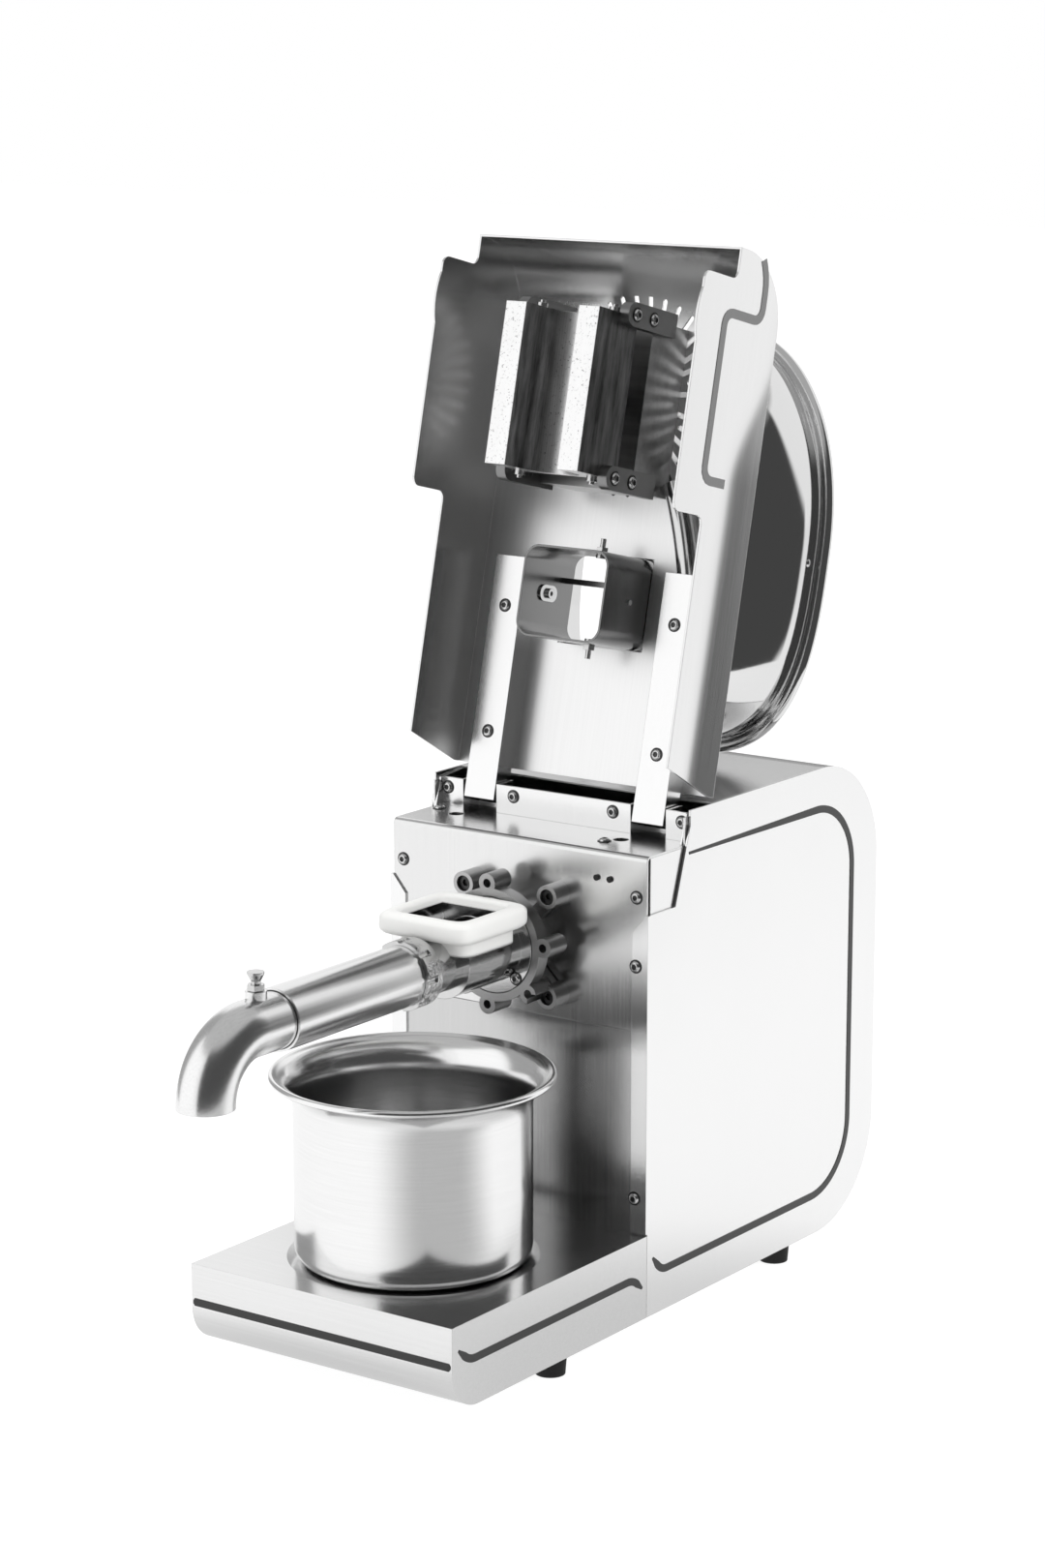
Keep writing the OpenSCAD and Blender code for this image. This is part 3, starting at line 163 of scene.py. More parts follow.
def heater_metal(name):
    """Aluminium of the heater: faces milled bright and speckled by seed oil; faces that point sideways, the flanks and
    the trough's walls, are drawn darker and streaked.
    """
    mat, t = blank(name)
    where = add(t, "TexCoord").outputs["Object"]
    way = add(t, "SeparateXYZ", [("Vector", add(t, "NewGeometry").outputs["True Normal"])])
    across = add(t, "Math", [(0, way.outputs["X"])], operation="ABSOLUTE")
    flank = add(t, "MapRange", [("Value", across.outputs[0])], From_Min=0.45, From_Max=0.9)
    speck = add(t, "TexNoise", [("Vector", where)], Scale=1000 / SPECK_MM, Detail=4.0, Roughness=0.7)
    drawn = add(t, "Mapping", [("Vector", where)], vector_type="TEXTURE", Rotation=(LID_OPEN, 0, 0),
                Scale=metres(STAIN))
    stain = add(t, "TexNoise", [("Vector", drawn.outputs[0])], Scale=1.0, Detail=5.0, Roughness=0.65)
    face = add(t, "ValToRGB", [("Fac", speck.outputs[0])])
    sideways_tone = add(t, "ValToRGB", [("Fac", stain.outputs[0])])
    for ramp, stops in ((face, FACE_STOPS), (sideways_tone, SIDEWAYS_STOPS)):
        for element, (position, code) in zip(ramp.color_ramp.elements, stops):
            element.position, element.color = position, hexcol(code)
    tone = add(t, "MixRGB", [("Fac", flank.outputs[0]), ("Color1", face.outputs[0]), ("Color2", sideways_tone.outputs[0])])
    rough = add(t, "MapRange", [("Value", stain.outputs[0])], To_Min=0.24, To_Max=0.44)
    soft = add(t, "Bevel", samples=4, Radius=0.6 * MM)
    ripple = add(t, "Bump", [("Height", speck.outputs[0]), ("Normal", soft.outputs[0])], Strength=0.06,
                 Distance=MARK_DEEP)
    s = add(t, "BsdfPrincipled", [("Base Color", tone.outputs[0]), ("Roughness", rough.outputs[0]),
                                  ("Normal", ripple.outputs[0])], Metallic=1.0)
    add(t, "OutputMaterial", [("Surface", s.outputs[0])])
    return mat


# Lid: where its vents are, how far the painted shade beside them reaches from their middle and where it starts at the
# side
VENT = on_lid(0.0, -174.0, 270.8)
VENT_SHADE_REACH, VENT_SHADE_SIDE = (56, 62), (34, 42)
# A wall is told from the plate by x times the normal's x, which passes 50 to 75 mm only on the walls
WALL = (50, 75)
# The walls swell by this slope above a line that climbs from the hinge's end to the front, in mm from the hinge
SWELL, SWELL_FROM, SWELL_TO, SWELL_SOFT = 0.16, (-179, -20), (-262, 8), 12


def lid_metal(name, code, wall_rough, plate_rough):
    """Sheet of the lid: walls keep their mill brushing, the plate is satin inside; painted shade darkens the plate
    beside the vents and the walls' inner faces.
    """
    mat, t = blank(name)
    coord = add(t, "TexCoord")
    where = coord.outputs["Object"]
    at_x = add(t, "SeparateXYZ", [("Vector", where)]).outputs["X"]
    drawn = add(t, "Mapping", [("Vector", where)], vector_type="TEXTURE", Rotation=(LID_OPEN, 0, 0),
                Scale=metres(ALONG))
    lines = add(t, "TexNoise", [("Vector", drawn.outputs[0])], Scale=1.0, Detail=3.0, Roughness=0.6)
    facing = add(t, "VectorMath", [(0, coord.outputs["Normal"])], operation="DOT_PRODUCT")
    facing.inputs[1].default_value = INTO_LID
    plate = add(t, "MapRange", [("Value", facing.outputs["Value"])], From_Min=0.93, From_Max=0.99)

    # Painted shade on the plate beside the vents: a dark tone there
    away = add(t, "VectorMath", [(0, where)], operation="DISTANCE")
    away.inputs[1].default_value = VENT
    inner = add(t, "MapRange", [("Value", away.outputs["Value"])], From_Min=VENT_SHADE_REACH[0] * MM,
                From_Max=VENT_SHADE_REACH[1] * MM, To_Min=1.0, To_Max=0.0)
    beside = add(t, "MapRange", [("Value", at_x)], From_Min=VENT_SHADE_SIDE[0] * MM, From_Max=VENT_SHADE_SIDE[1] * MM)
    vent_shade = add(t, "Math", [(0, inner.outputs[0]), (1, beside.outputs[0])], operation="MULTIPLY")
    vent_shade = add(t, "Math", [(0, vent_shade.outputs[0]), (1, plate.outputs[0])], operation="MULTIPLY")
    low, high = shades(code, 0.05)
    brushed_tone = add(t, "MixRGB", [("Fac", lines.outputs[0])], Color1=low, Color2=high)
    tone = add(t, "MixRGB", [("Fac", vent_shade.outputs[0]), ("Color1", brushed_tone.outputs[0])], Color2=hexcol("#343434"))

    # Painted shade: the walls' inner faces are drawn darker than the sheet
    out_x = add(t, "SeparateXYZ", [("Vector", coord.outputs["Normal"])]).outputs["X"]
    side = add(t, "Math", [(0, out_x), (1, at_x)], operation="MULTIPLY")
    wall_inside_shade = add(t, "MapRange", [("Value", side.outputs[0])], From_Min=-WALL[0] * MM, From_Max=-WALL[1] * MM)
    tone = add(t, "MixRGB", [("Fac", wall_inside_shade.outputs[0]), ("Color1", tone.outputs[0])], Color2=hexcol("#D2D2D2"))
    fine = add(t, "MapRange", [("Value", lines.outputs[0])], To_Min=-0.04, To_Max=0.04)
    level = add(t, "MapRange", [("Value", plate.outputs[0])], To_Min=wall_rough, To_Max=plate_rough)
    rough = add(t, "Math", [(0, fine.outputs[0]), (1, level.outputs[0])], operation="ADD", use_clamp=True)
    soft = add(t, "Bevel", samples=4, Radius=0.4 * MM)
    ripple = add(t, "Bump", [("Height", lines.outputs[0]), ("Normal", soft.outputs[0])], Strength=0.006,
                 Distance=MARK_DEEP)

    # Each wall swells a little outside, above its stripe, where the sheet was drawn round the bend
    shut = add(t, "Mapping", [("Vector", where)], vector_type="TEXTURE", Location=HINGE * MM,
               Rotation=(LID_OPEN, 0, 0))
    place = add(t, "SeparateXYZ", [("Vector", shut.outputs[0])])
    start = add(t, "MapRange", [("Value", place.outputs["Y"])], interpolation_type="SMOOTHSTEP",
                From_Min=SWELL_FROM[0] * MM, From_Max=SWELL_TO[0] * MM, To_Min=SWELL_FROM[1] * MM,
                To_Max=SWELL_TO[1] * MM)
    past = add(t, "Math", [(0, place.outputs["Z"]), (1, start.outputs[0])], operation="SUBTRACT")
    past = add(t, "Math", [(0, past.outputs[0])], operation="SMOOTH_MAX")
    past.inputs[1].default_value, past.inputs[2].default_value = 0.0, SWELL_SOFT * MM
    outside = add(t, "MapRange", [("Value", side.outputs[0])], From_Min=WALL[0] * MM, From_Max=WALL[1] * MM,
                  To_Max=SWELL)
    swell = add(t, "Math", [(0, past.outputs[0]), (1, outside.outputs[0])], operation="MULTIPLY")
    bulge = add(t, "Bump", [("Height", swell.outputs[0]), ("Normal", ripple.outputs[0])], Strength=1.0, Distance=1.0)
    s = add(t, "BsdfPrincipled", [("Base Color", tone.outputs[0]), ("Roughness", rough.outputs[0]),
                                  ("Normal", bulge.outputs[0])], Metallic=1.0)
    add(t, "OutputMaterial", [("Surface", s.outputs[0])])
    return mat


MATS = {
    # Stainless sheet, brushed along its length: soft mirror with faint lines
    "casing": metal("brushed_stainless_casing", "#F3F3F3", 0.20, UP, bump=0.004, spread=0.03, smudge=0.02, shade=0.02),
    "deck": metal("brushed_stainless_front", "#E6E6E6", 0.22, UP, bump=0.02),
    # Painted shade: the lower panel takes a darker tone of the same brushed stainless
    "lower": metal("brushed_stainless_lower_painted_shade", "#CECECE", 0.22, UP, bump=0.02),
    "tray": metal("brushed_stainless_tray", "#E8E8E8", 0.20, ACROSS, bump=0.006),
    "lid": lid_metal("brushed_stainless_lid", "#F2F2F2", 0.20, 0.32),
    # Chute: dull sheet drawn darker than the lid round it, painted shade for its dark inside and shaded outer wall
    "chute": metal("chute_stainless_painted_shade", "#868686", 0.24, UP, bump=0.01, shade=0.1),
    # Spun bowl: brush marks run round it, so they are drawn level
    "bowl": metal("brushed_stainless_bowl", "#F0F0F0", 0.17, (40, 40, 0.9), bump=0.01, smudge=0.03),
    # Polished tube: clear streaks along it
    "tube": metal("polished_stainless_tube", "#D6D6D6", 0.13, ALONG, bump=0.006, spread=0.04),
    # Elbow and sleeve are only belt-ground: satin, with wide soft lights
    "satin": metal("ground_stainless_tube", "#F0F0F0", 0.23, ALONG, bump=0.02, spread=0.05, shade=0.1),
    # Lock ring with a beaten skin: lights break up into short glints
    "beaten": metal("beaten_stainless_ring", "#CFCFCF", 0.15, (3.5, 3.5, 3.5), bump=0.9),
    # Hopper drawn from polished sheet: nearly a mirror
    "hopper": metal("polished_stainless_hopper", "#DEDEDE", 0.07, ACROSS, bump=0.001, smudge=0.02, spread=0.015,
                    shade=0.02),
    # Sand-cast aluminium, and sawn bar: grainy skins with broad dull lights
    "cast": metal("cast_aluminium", "#B6B6B6", 0.36, (1.2, 1.2, 1.2), bump=0.12, spread=0.08),
    "bracket": metal("sawn_aluminium_bracket", "#8C8C8C", 0.36, (1.2, 1.2, 1.2), bump=0.1, spread=0.08),
    "heater": heater_metal("heater_aluminium"),
    # Aluminium sheet behind the heater: the light streaks along it in its tone are a painted reflection of the lid's
    # vent slots
    "mount": metal("sheet_aluminium_mount_painted_reflections", "#A4A4A4", 0.32, (90, 5, 5), bump=0.03, shade=0.35),
    # Zinc-plated fasteners: bright and smooth. Blackened steel: dark, with a faint gloss
    "zinc": metal("zinc_plated_steel", "#D4D4D4", 0.18, (2, 2, 2), bump=0.0, edge=0.3),
    "dark": metal("blackened_steel", "#4A4A4A", 0.34, (2, 2, 2), bump=0.01, edge=0.3),
    # Stamped sheets of the rotor: brown iron in fine rings along the shaft
    "rotor": metal("laminated_rotor_iron", "#6A5644", 0.5, (120, 0.5, 120)),
    # Nylon collar: matte white, a little waxy
    "collar": moulded("white_nylon", "#FAFAF8", 0.42, 1.5, bump=0.02, edge=1.6, shade=0.01),
    # Rubber is dull black, moulded ABS black with a soft sheen
    "rubber": moulded("black_rubber", "#141414", 0.7, edge=1.0),
    "plastic": moulded("black_abs_plastic", "#101010", 0.45),
    # Vinyl tape: thin and evenly toned, with a slight gloss
    "tape": moulded("dark_vinyl_tape", "#2A2A2A", 0.34, edge=0.1),
    "grey_tape": moulded("grey_vinyl_tape", "#767676", 0.3, edge=0.1),
    # Green solder mask on glass epoxy, and dark stove enamel on the motor
    "board": moulded("glass_epoxy_board", "#14401F", 0.5),
    "paint": moulded("motor_enamel", "#333335", 0.5),
}
WEAR = {
    "casing": "side_panel_right side_panel_left rear_shell hinge_strap_right hinge_strap_left chassis hinge_bracket",
    "deck": "front_panel motor_cradle",
    "lower": "lower_front_panel",
    "tray": "base_tray",
    "lid": "lid_shell",
    "chute": "hopper_chute guard_bar",
    "bowl": "oil_bowl",
    "tube": "press_barrel heater_lead press_chamber",
    "satin": "elbow_spout barrel_sleeve",
    "beaten": "lock_ring",
    "hopper": "hopper",
    "cast": "gearbox_flange gearbox_housing gearbox_cover",
    "bracket": "heater_brackets",
    "heater": "heater_block",
    "mount": "heater_mount",
    "zinc": "panel_screws strap_screws chute_fasteners thumb_screw hinge_pin heater_cartridges",
    "dark": "flange_screws chamber_screws heater_screws press_screw output_gear intermediate_gear shaft_bearings",
    "rotor": "motor_rotor",
    "collar": "feed_collar",
    "rubber": "rubber_feet",
    "plastic": "mains_inlet fuse_holder switch_frames press_rocker heat_rocker lid_switch thermostat cooling_fan",
    "tape": "body_stripes",
    "grey_tape": "lid_stripes",
    "board": "control_board",
    "paint": "motor_can motor_end_bell",
}
for key, names in WEAR.items():
    for name in names.split():
        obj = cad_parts[name]
        obj.data.materials.clear()
        obj.data.materials.append(MATS[key])


# Pieces

def put(name, data):
    """A new object in the scene."""
    obj = bpy.data.objects.new(name, data)
    scene.collection.objects.link(obj)
    return obj


def piece(name, body, key, verts, faces, slot, smooth=True, sharp=None):
    """A mesh piece in metres of the part that rides on a body; edges over the sharp angle stay crisp."""
    mesh = bpy.data.meshes.new(name)
    mesh.from_pydata(verts, [], faces)
    b = bmesh.new()
    b.from_mesh(mesh)
    bmesh.ops.recalc_face_normals(b, faces=b.faces)
    for f in b.faces:
        f.smooth = smooth
    if sharp:
        for e in b.edges:
            e.smooth = not (e.is_manifold and e.calc_face_angle(0) > math.radians(sharp))
    b.to_mesh(mesh)
    b.free()
    obj = put(name, mesh)
    mesh.materials.append(MATS[key])
    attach(obj, body)
    return obj


def rings_to_faces(count, n, closed=True):
    """Quads between rings of n points each; a closed set joins the last ring to the first."""
    last = count if closed else count - 1
    return [(i * n + k, i * n + (k + 1) % n, ((i + 1) % count) * n + (k + 1) % n, ((i + 1) % count) * n + k)
            for i in range(last) for k in range(n)]


def turned(origin, axis, rings, sides, closed=False):
    """Points and faces of a turned solid: rings of (radius, height) in mm round an axis; the ends are capped."""
    axis = axis.normalized()
    u = axis.orthogonal().normalized()
    v = axis.cross(u)
    verts = []
    for radius, height in rings:
        for k in range(sides):
            a = 2 * math.pi * k / sides
            r = radius(a) if callable(radius) else radius
            verts.append(origin + ((u * math.cos(a) + v * math.sin(a)) * r + axis * height) * MM)
    faces = rings_to_faces(len(rings), sides, closed)
    if not closed:
        last = (len(rings) - 1) * sides
        faces += [tuple(range(sides)), tuple(range(last, last + sides))]
    return verts, faces


def join(parts):
    """Several sets of points and faces as one."""
    verts, faces = [], []
    for v, f in parts:
        faces += [tuple(i + len(verts) for i in face) for face in f]
        verts += v
    return verts, faces


def rounded(angle, power):
    """How far a rounded square of half width 1 reaches at an angle: power 2 is a circle, a high power a square."""
    return (abs(math.cos(angle)) ** power + abs(math.sin(angle)) ** power) ** (-1 / power)


# Hopper of drawn sheet: a flank that swells from the square mouth, a crease, an upright band and a rolled bead
MOUTH_HALF_X, MOUTH_HALF_Y, MOUTH_Y, MOUTH_FIT = 27.5, 25.0, -61.0, 0.2
RIM_HALF, RIM_FRONT, RIM_REAR, RIM_MID, RIM_Z = 76.5, 115.0, 110.0, -103.6, BODY_H + 89.0
MOUTH_POWER, FRONT_POWER, REAR_POWER = 8, 2.1, 3.0
SHEET, BAND, BEAD = 1.4, 18.0, 3.4
FLANK_STEPS, FLANK_CUT, FLANK_RISE = 26, 0.75, 1.4
HOPPER_SIDES = 168


def hopper_outline(angle, grow, out):
    """Plan of the hopper: a rounded square at its mouth that becomes an egg at its rim."""
    c, s = math.cos(angle), math.sin(angle)
    front = s < 0
    k = rounded(angle, MOUTH_POWER + ((FRONT_POWER if front else REAR_POWER) - MOUTH_POWER) * grow)
    rx = MOUTH_HALF_X + MOUTH_FIT + (RIM_HALF - MOUTH_HALF_X) * grow + out
    ry = MOUTH_HALF_Y + MOUTH_FIT + ((RIM_FRONT if front else RIM_REAR) - MOUTH_HALF_Y) * grow + out
    return rx * k * c, MOUTH_Y + (RIM_MID - MOUTH_Y) * grow + ry * k * s


def hopper_profile():
    """(grow, out, z) up the outside from the mouth, round the bead and back inside."""
    base, crease, bead_z = BODY_H + 0.6, RIM_Z - BAND, RIM_Z - BEAD
    flank = []
    for i in range(FLANK_STEPS + 1):
        t = i / FLANK_STEPS
        grow = (1 - (1 - FLANK_CUT * t) ** 2) / (1 - (1 - FLANK_CUT) ** 2)
        flank.append((grow, base + (crease - base) * t ** FLANK_RISE))
    outside = [(g, SHEET, z) for g, z in flank]
    outside += [(1, SHEET, z) for z in (crease + 0.3, crease + 5, bead_z - BEAD)]
    roll = [(1, SHEET + BEAD + BEAD * math.cos(a), bead_z + BEAD * math.sin(a)) for a in angles(-140, 150, 20)]
    inside = [(1, 0, RIM_Z - 4), (1, 0, crease + 5)] + [(g, 0, z + SHEET) for g, z in reversed(flank)]
    return outside + roll + inside


hopper_rings = hopper_profile()
hopper_verts = [on_lid(*hopper_outline(2 * math.pi * k / HOPPER_SIDES, g, out), z)
                for g, out, z in hopper_rings for k in range(HOPPER_SIDES)]
hopper_skin = piece("hopper_skin", "lid", "hopper", hopper_verts, rings_to_faces(len(hopper_rings), HOPPER_SIDES),
                    "polished_steel", sharp=38)
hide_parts("hopper")


# Bowl spun from thin sheet: straight wall, a throat that opens and a rolled rim
BOWL_Y, BOWL_Z, BOWL_R, BOWL_T = -94.0, 44.35, 63.0, 1.0
FOOT_R, FLOOR_R, WALL_LEVELS = 8, 30.0, (30, 60, 83)
THROAT = [(63.2, 86), (63.9, 89), (65.0, 91.8), (66.6, 94.6), (68.6, 97.2), (70.4, 98.9), (71.9, 99.6)]
THROAT_T = 0.9
ROLL_R, ROLL_AT = 1.9, (73.9, 100.0)


def bowl_foot(spans, radius):
    """The round between base and wall."""
    return [(BOWL_R - FOOT_R + radius * math.sin(a), FOOT_R - radius * math.cos(a)) for a in spans]


def bowl_profile():
    """(radius, height) from the base up the outside, round the rim and down the inside."""
    outside = [(FLOOR_R, 0.0)] + bowl_foot(angles(0, 91, 15), FOOT_R) + [(BOWL_R, h) for h in WALL_LEVELS] + THROAT
    roll = [(ROLL_AT[0] + ROLL_R * math.cos(a), ROLL_AT[1] + ROLL_R * math.sin(a)) for a in angles(-150, 151, 25)]
    inside = [(r - THROAT_T, h + THROAT_T) for r, h in reversed(THROAT)]
    inside += [(BOWL_R - BOWL_T, h) for h in reversed(WALL_LEVELS)]
    return outside + roll + inside + bowl_foot(angles(90, -1, -15), FOOT_R - BOWL_T) + [(FLOOR_R, BOWL_T)]


bowl_verts, bowl_faces = turned(mach(0, BOWL_Y, BOWL_Z), UPWARD, bowl_profile(), 144)
oil_bowl_spun = piece("oil_bowl_spun", "bowl", "bowl", bowl_verts, bowl_faces, "polished_steel", sharp=50)
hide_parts("oil_bowl")


# Button-head screws: a domed head with a hexagon socket, a black lock washer and a shank. A dark plug in each socket
# is painted shade, and the black washer round each head also paints the shade at its edge
SHANK_R, SCREW_SIDES = 1.5, 24


def hexagon(size):
    """Radius of a hexagon by angle, from half its width across the flats."""
    return lambda a: size / math.cos((a + math.pi / 6) % (math.pi / 3) - math.pi / 6)


def screws(node, body, spots, tail, head=3.0, high=1.8):
    """Replaces a node of screws: spots are (place in metres, direction of the head), tail the shank's rings."""
    bore, washer, socket_shade_bore = 0.46 * head, (head + 0.05, head * 1.26), 0.46 * head * 0.98
    dome = [(head * 0.96, 0.0), (head, high * 0.2), (head * 0.92, high * 0.62), (head * 0.76, high * 0.9),
            (head * 0.6, high), (hexagon(bore), high), (hexagon(bore), high * 0.3)]
    heads = join([turned(at, way, tail + dome, SCREW_SIDES) for at, way in spots])
    # Painted shade: a dark plug fills each hexagon socket
    socket_shade = [(hexagon(socket_shade_bore), high * 0.32), (hexagon(socket_shade_bore), high * 0.6)]
    ring = [(washer[0], 0.02), (washer[1], 0.02), (washer[1], 0.3), (washer[0], 0.3)]
    black = join([turned(at, way, socket_shade, SCREW_SIDES) for at, way in spots]
                 + [turned(at, way, ring, SCREW_SIDES, closed=True) for at, way in spots])
    made = piece(node + "_heads", body, "zinc", *heads, "zinc_steel", sharp=30)
    piece(node + "_washers_and_socket_shade", body, "dark", *black, "dark_steel", sharp=30)
    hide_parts(node)


def shank(length):
    """Rings of a plain shank."""
    return [(SHANK_R, -length), (SHANK_R, 0.0)]


BOTH = (-1, 1)
panel_spots = [(mach(s * 77, 0, DECK_Z - 22.5), FORWARD) for s in BOTH]
panel_spots += [(mach(s * 77.5, -1.2, z), FORWARD) for s in BOTH for z in (66, 194)]
panel_spots += [(mach(x, 42, DECK_Z + 10.5), FORWARD) for x in (-77.5, -33, 33, 77.5)]
panel_spots += [(mach(-77, 33, DECK_Z), UPWARD), (mach(43.3, 19, DECK_Z), UPWARD)]
screws("panel_screws", "casing", panel_spots, shank(3.0))

CHAMBER_BOLT_R = 22.75
chamber_spots = [(mach(CHAMBER_BOLT_R * math.cos(a), -24, AXIS_Z + CHAMBER_BOLT_R * math.sin(a)), FORWARD)
                 for a in (math.radians(d) for d in (45, 135, -45, -135))]
screws("chamber_screws", "casing", chamber_spots, shank(9.0), high=1.6)

# Strap screws stand on spacers that reach the lid's plate
spacer = [(3.2, -14.8), (3.2, -1.5)]
strap_spots = [(on_lid(s * 55.9, y, 256.0), INTO_LID) for s in BOTH for y in (18, -52)]
screws("strap_screws", "lid", strap_spots, spacer + shank(1.5), high=1.4)

heater_spots = [(on_lid(s * 36, y, z), Vector((s, 0, 0)))
                for s in BOTH for y in (-210.5, -123.5) for z in (210.0, 226.5)]
screws("heater_screws", "lid", heater_spots, shank(5.5), head=3.2, high=1.6)


# Feed collar, moulded in one: a thick frame with round corners over a skirt that saddles the chamber
COLLAR_Y, COLLAR_TOP, COLLAR_T = -58.0, AXIS_Z + 27.5, 12.0
COLLAR_HALF_X, COLLAR_HALF_Y, COLLAR_ROUND = 30, 31, 4.0
HOLE_HALF_X, HOLE_HALF_Y, HOLE_ROUND = 21.5, 22, 2.5
SQUARE, SKIRT_SQUARE, COLLAR_SIDES = 8, 6, 96


def frame_loop(half_x, front, rear, height, power):
    """One level loop of the collar, from its middle: a square with rounded corners."""
    loop = []
    mid, half = (front + rear) / 2, (rear - front) / 2
    for k in range(COLLAR_SIDES):
        a = 2 * math.pi * k / COLLAR_SIDES
        grow = rounded(a, power)
        loop.append(mach(half_x * grow * math.cos(a), COLLAR_Y + mid + half * grow * math.sin(a), height))
    return loop


collar_loops = []
for a in angles(-90, 91, 15):
    inset = COLLAR_ROUND * (1 - math.cos(a))
    middle = COLLAR_TOP - COLLAR_ROUND if a > 0 else COLLAR_TOP - COLLAR_T + COLLAR_ROUND
    collar_loops.append(frame_loop(COLLAR_HALF_X - inset, inset - COLLAR_HALF_Y, COLLAR_HALF_Y - inset,
                                   middle + COLLAR_ROUND * math.sin(a), SQUARE))
for a in angles(90, -1, -15):
    inset = HOLE_ROUND * (1 - math.cos(a))
    collar_loops.append(frame_loop(HOLE_HALF_X + inset, -HOLE_HALF_Y - inset, HOLE_HALF_Y + inset,
                                   COLLAR_TOP - HOLE_ROUND + HOLE_ROUND * math.sin(a), SQUARE))
collar_loops += [frame_loop(19.6, -17.5, 17.5, COLLAR_TOP - 9, SQUARE),
                 frame_loop(19.6, -17.2, 17.2, AXIS_Z + 14, SQUARE),
                 frame_loop(23.5, -20.5, 27, AXIS_Z + 7, SKIRT_SQUARE),
                 frame_loop(23.5, -20.5, 27, AXIS_Z + 14, SKIRT_SQUARE)]
collar_verts = [v for loop in collar_loops for v in loop]
collar_moulded = piece("feed_collar_moulded", "casing", "collar", collar_verts,
                       rings_to_faces(len(collar_loops), COLLAR_SIDES), "white_plastic", sharp=50)
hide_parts("feed_collar")


# Stripes of tape with soft bends and pointed ends
TAPE_W, TAPE_T, TAPE_END = 4.2, 0.3, 0.35


def soft_line(points, radius):
    """A line with its corners rounded."""
    out = [Vector(points[0])]
    for before, at, after in zip(points, points[1:-1], points[2:]):
        at = Vector(at)
        b, f = (Vector(before) - at), (Vector(after) - at)
        reach = min(radius, b.length * 0.48, f.length * 0.48)
        start, end = at + b.normalized() * reach, at + f.normalized() * reach
        out += [start * (1 - t) ** 2 + at * 2 * t * (1 - t) + end * t * t for t in [i / 8 for i in range(9)]]
    return out + [Vector(points[-1])]


def bend(middle, radius, start, end):
    """Points of an arc between two angles in degrees."""
    return [Vector((middle[0] + radius * math.cos(math.radians(d)), middle[1] + radius * math.sin(math.radians(d))))
            for d in [start + (end - start) * i / 20 for i in range(21)]]


def stripe(points, place):
    """A ribbon of tape along a line in a plane; place turns (a, b, height) into a point of the part."""
    verts = []
    ends = (0, len(points) - 1)
    for i, at in enumerate(points):
        way = (points[min(i + 1, ends[1])] - points[max(i - 1, 0)]).normalized()
        off = Vector((-way.y, way.x)) * TAPE_W / 2 * (TAPE_END if i in ends else 1)
        a, b = at + off, at - off
        verts += [place(*a, 0.0), place(*b, 0.0), place(*b, TAPE_T), place(*a, TAPE_T)]
    faces = [(4 * i + k, 4 * i + (k + 1) % 4, 4 * i + 4 + (k + 1) % 4, 4 * i + 4 + k)
             for i in range(ends[1]) for k in range(4)]
    last = 4 * ends[1]
    return verts, faces + [(0, 1, 2, 3), (last, last + 1, last + 2, last + 3)]


LINE_LOW, LINE_BACK, LINE_TOP, LINE_R = 23.0, REAR_Y - 27.5, BODY_H - 23.0, 39.0
TRAY_LINE_Z = 25.0
body_line = soft_line([(6, LINE_LOW + 9), (14, LINE_LOW), (30, LINE_LOW)], 11)
body_line += bend((LINE_BACK - LINE_R, LINE_LOW + LINE_R), LINE_R, -90, 0)
body_line += bend((LINE_BACK - LINE_R, LINE_TOP - LINE_R), LINE_R, 0, 90) + [Vector((38, LINE_TOP))]
tray_line = soft_line([(-169, TRAY_LINE_Z + 7.5), (-160, TRAY_LINE_Z), (-13, TRAY_LINE_Z), (-4.5, TRAY_LINE_Z - 7)],
                      10)
front_line = [Vector((x, TRAY_LINE_Z)) for x in (-84, -83, 83, 84)]
stripes = []
for sign in BOTH:
    def on_side(a, b, height, sign=sign):
        return mach(sign * (HALF_W + height), a, b)
    stripes += [stripe(body_line, on_side), stripe(tray_line, on_side)]
stripes.append(stripe(front_line, lambda a, b, height: mach(a, -TRAY_D - height, b)))
tape_lines = piece("tape_lines", "casing", "tape", *join(stripes), "dark_tape", smooth=False)
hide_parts("body_stripes")

# Rivets that hold the hopper's rim to its band
rivet_spots = [(on_lid(s * (RIM_HALF + SHEET), -97.6, RIM_Z - 12.7), Vector((s, 0, 0))) for s in BOTH]
rivet_rings = [(1.3, -1.0), (1.3, 0.0), (2.3, 0.0), (2.3, 0.3), (1.9, 0.8), (1.1, 1.15), (0.3, 1.25)]
rivets = join([turned(at, way, rivet_rings, 20) for at, way in rivet_spots])
piece("hopper_rivets", "lid", "zinc", *rivets, "zinc_steel", sharp=30)


# Stage: lamps, cards that show only in the metal, floor, background and camera; places in metres

def lamp(name, place, aim, size, power):
    """A soft box that lights what is matte; the metal shows the cards and the white room in its place."""
    data = bpy.data.lights.new(name, "AREA")
    data.shape, data.size, data.size_y, data.energy = "RECTANGLE", size[0], size[1], power
    obj = put(name, data)
    obj.location = place
    obj.rotation_euler = (Vector(aim) - Vector(place)).to_track_quat("-Z", "Y").to_euler()
    obj.visible_glossy = False


lamp("key_right", (1.6, 0.1, 1.1), (0, 0, 0.3), (1.2, 1.2), 8)
lamp("top", (0.0, -0.2, 1.9), (0, 0, 0.2), (1.6, 1.6), 9)
lamp("fill_left", (-1.5, -1.2, 1.0), (0, 0, 0.3), (0.8, 1.4), 6)

CARD_STEPS = 36


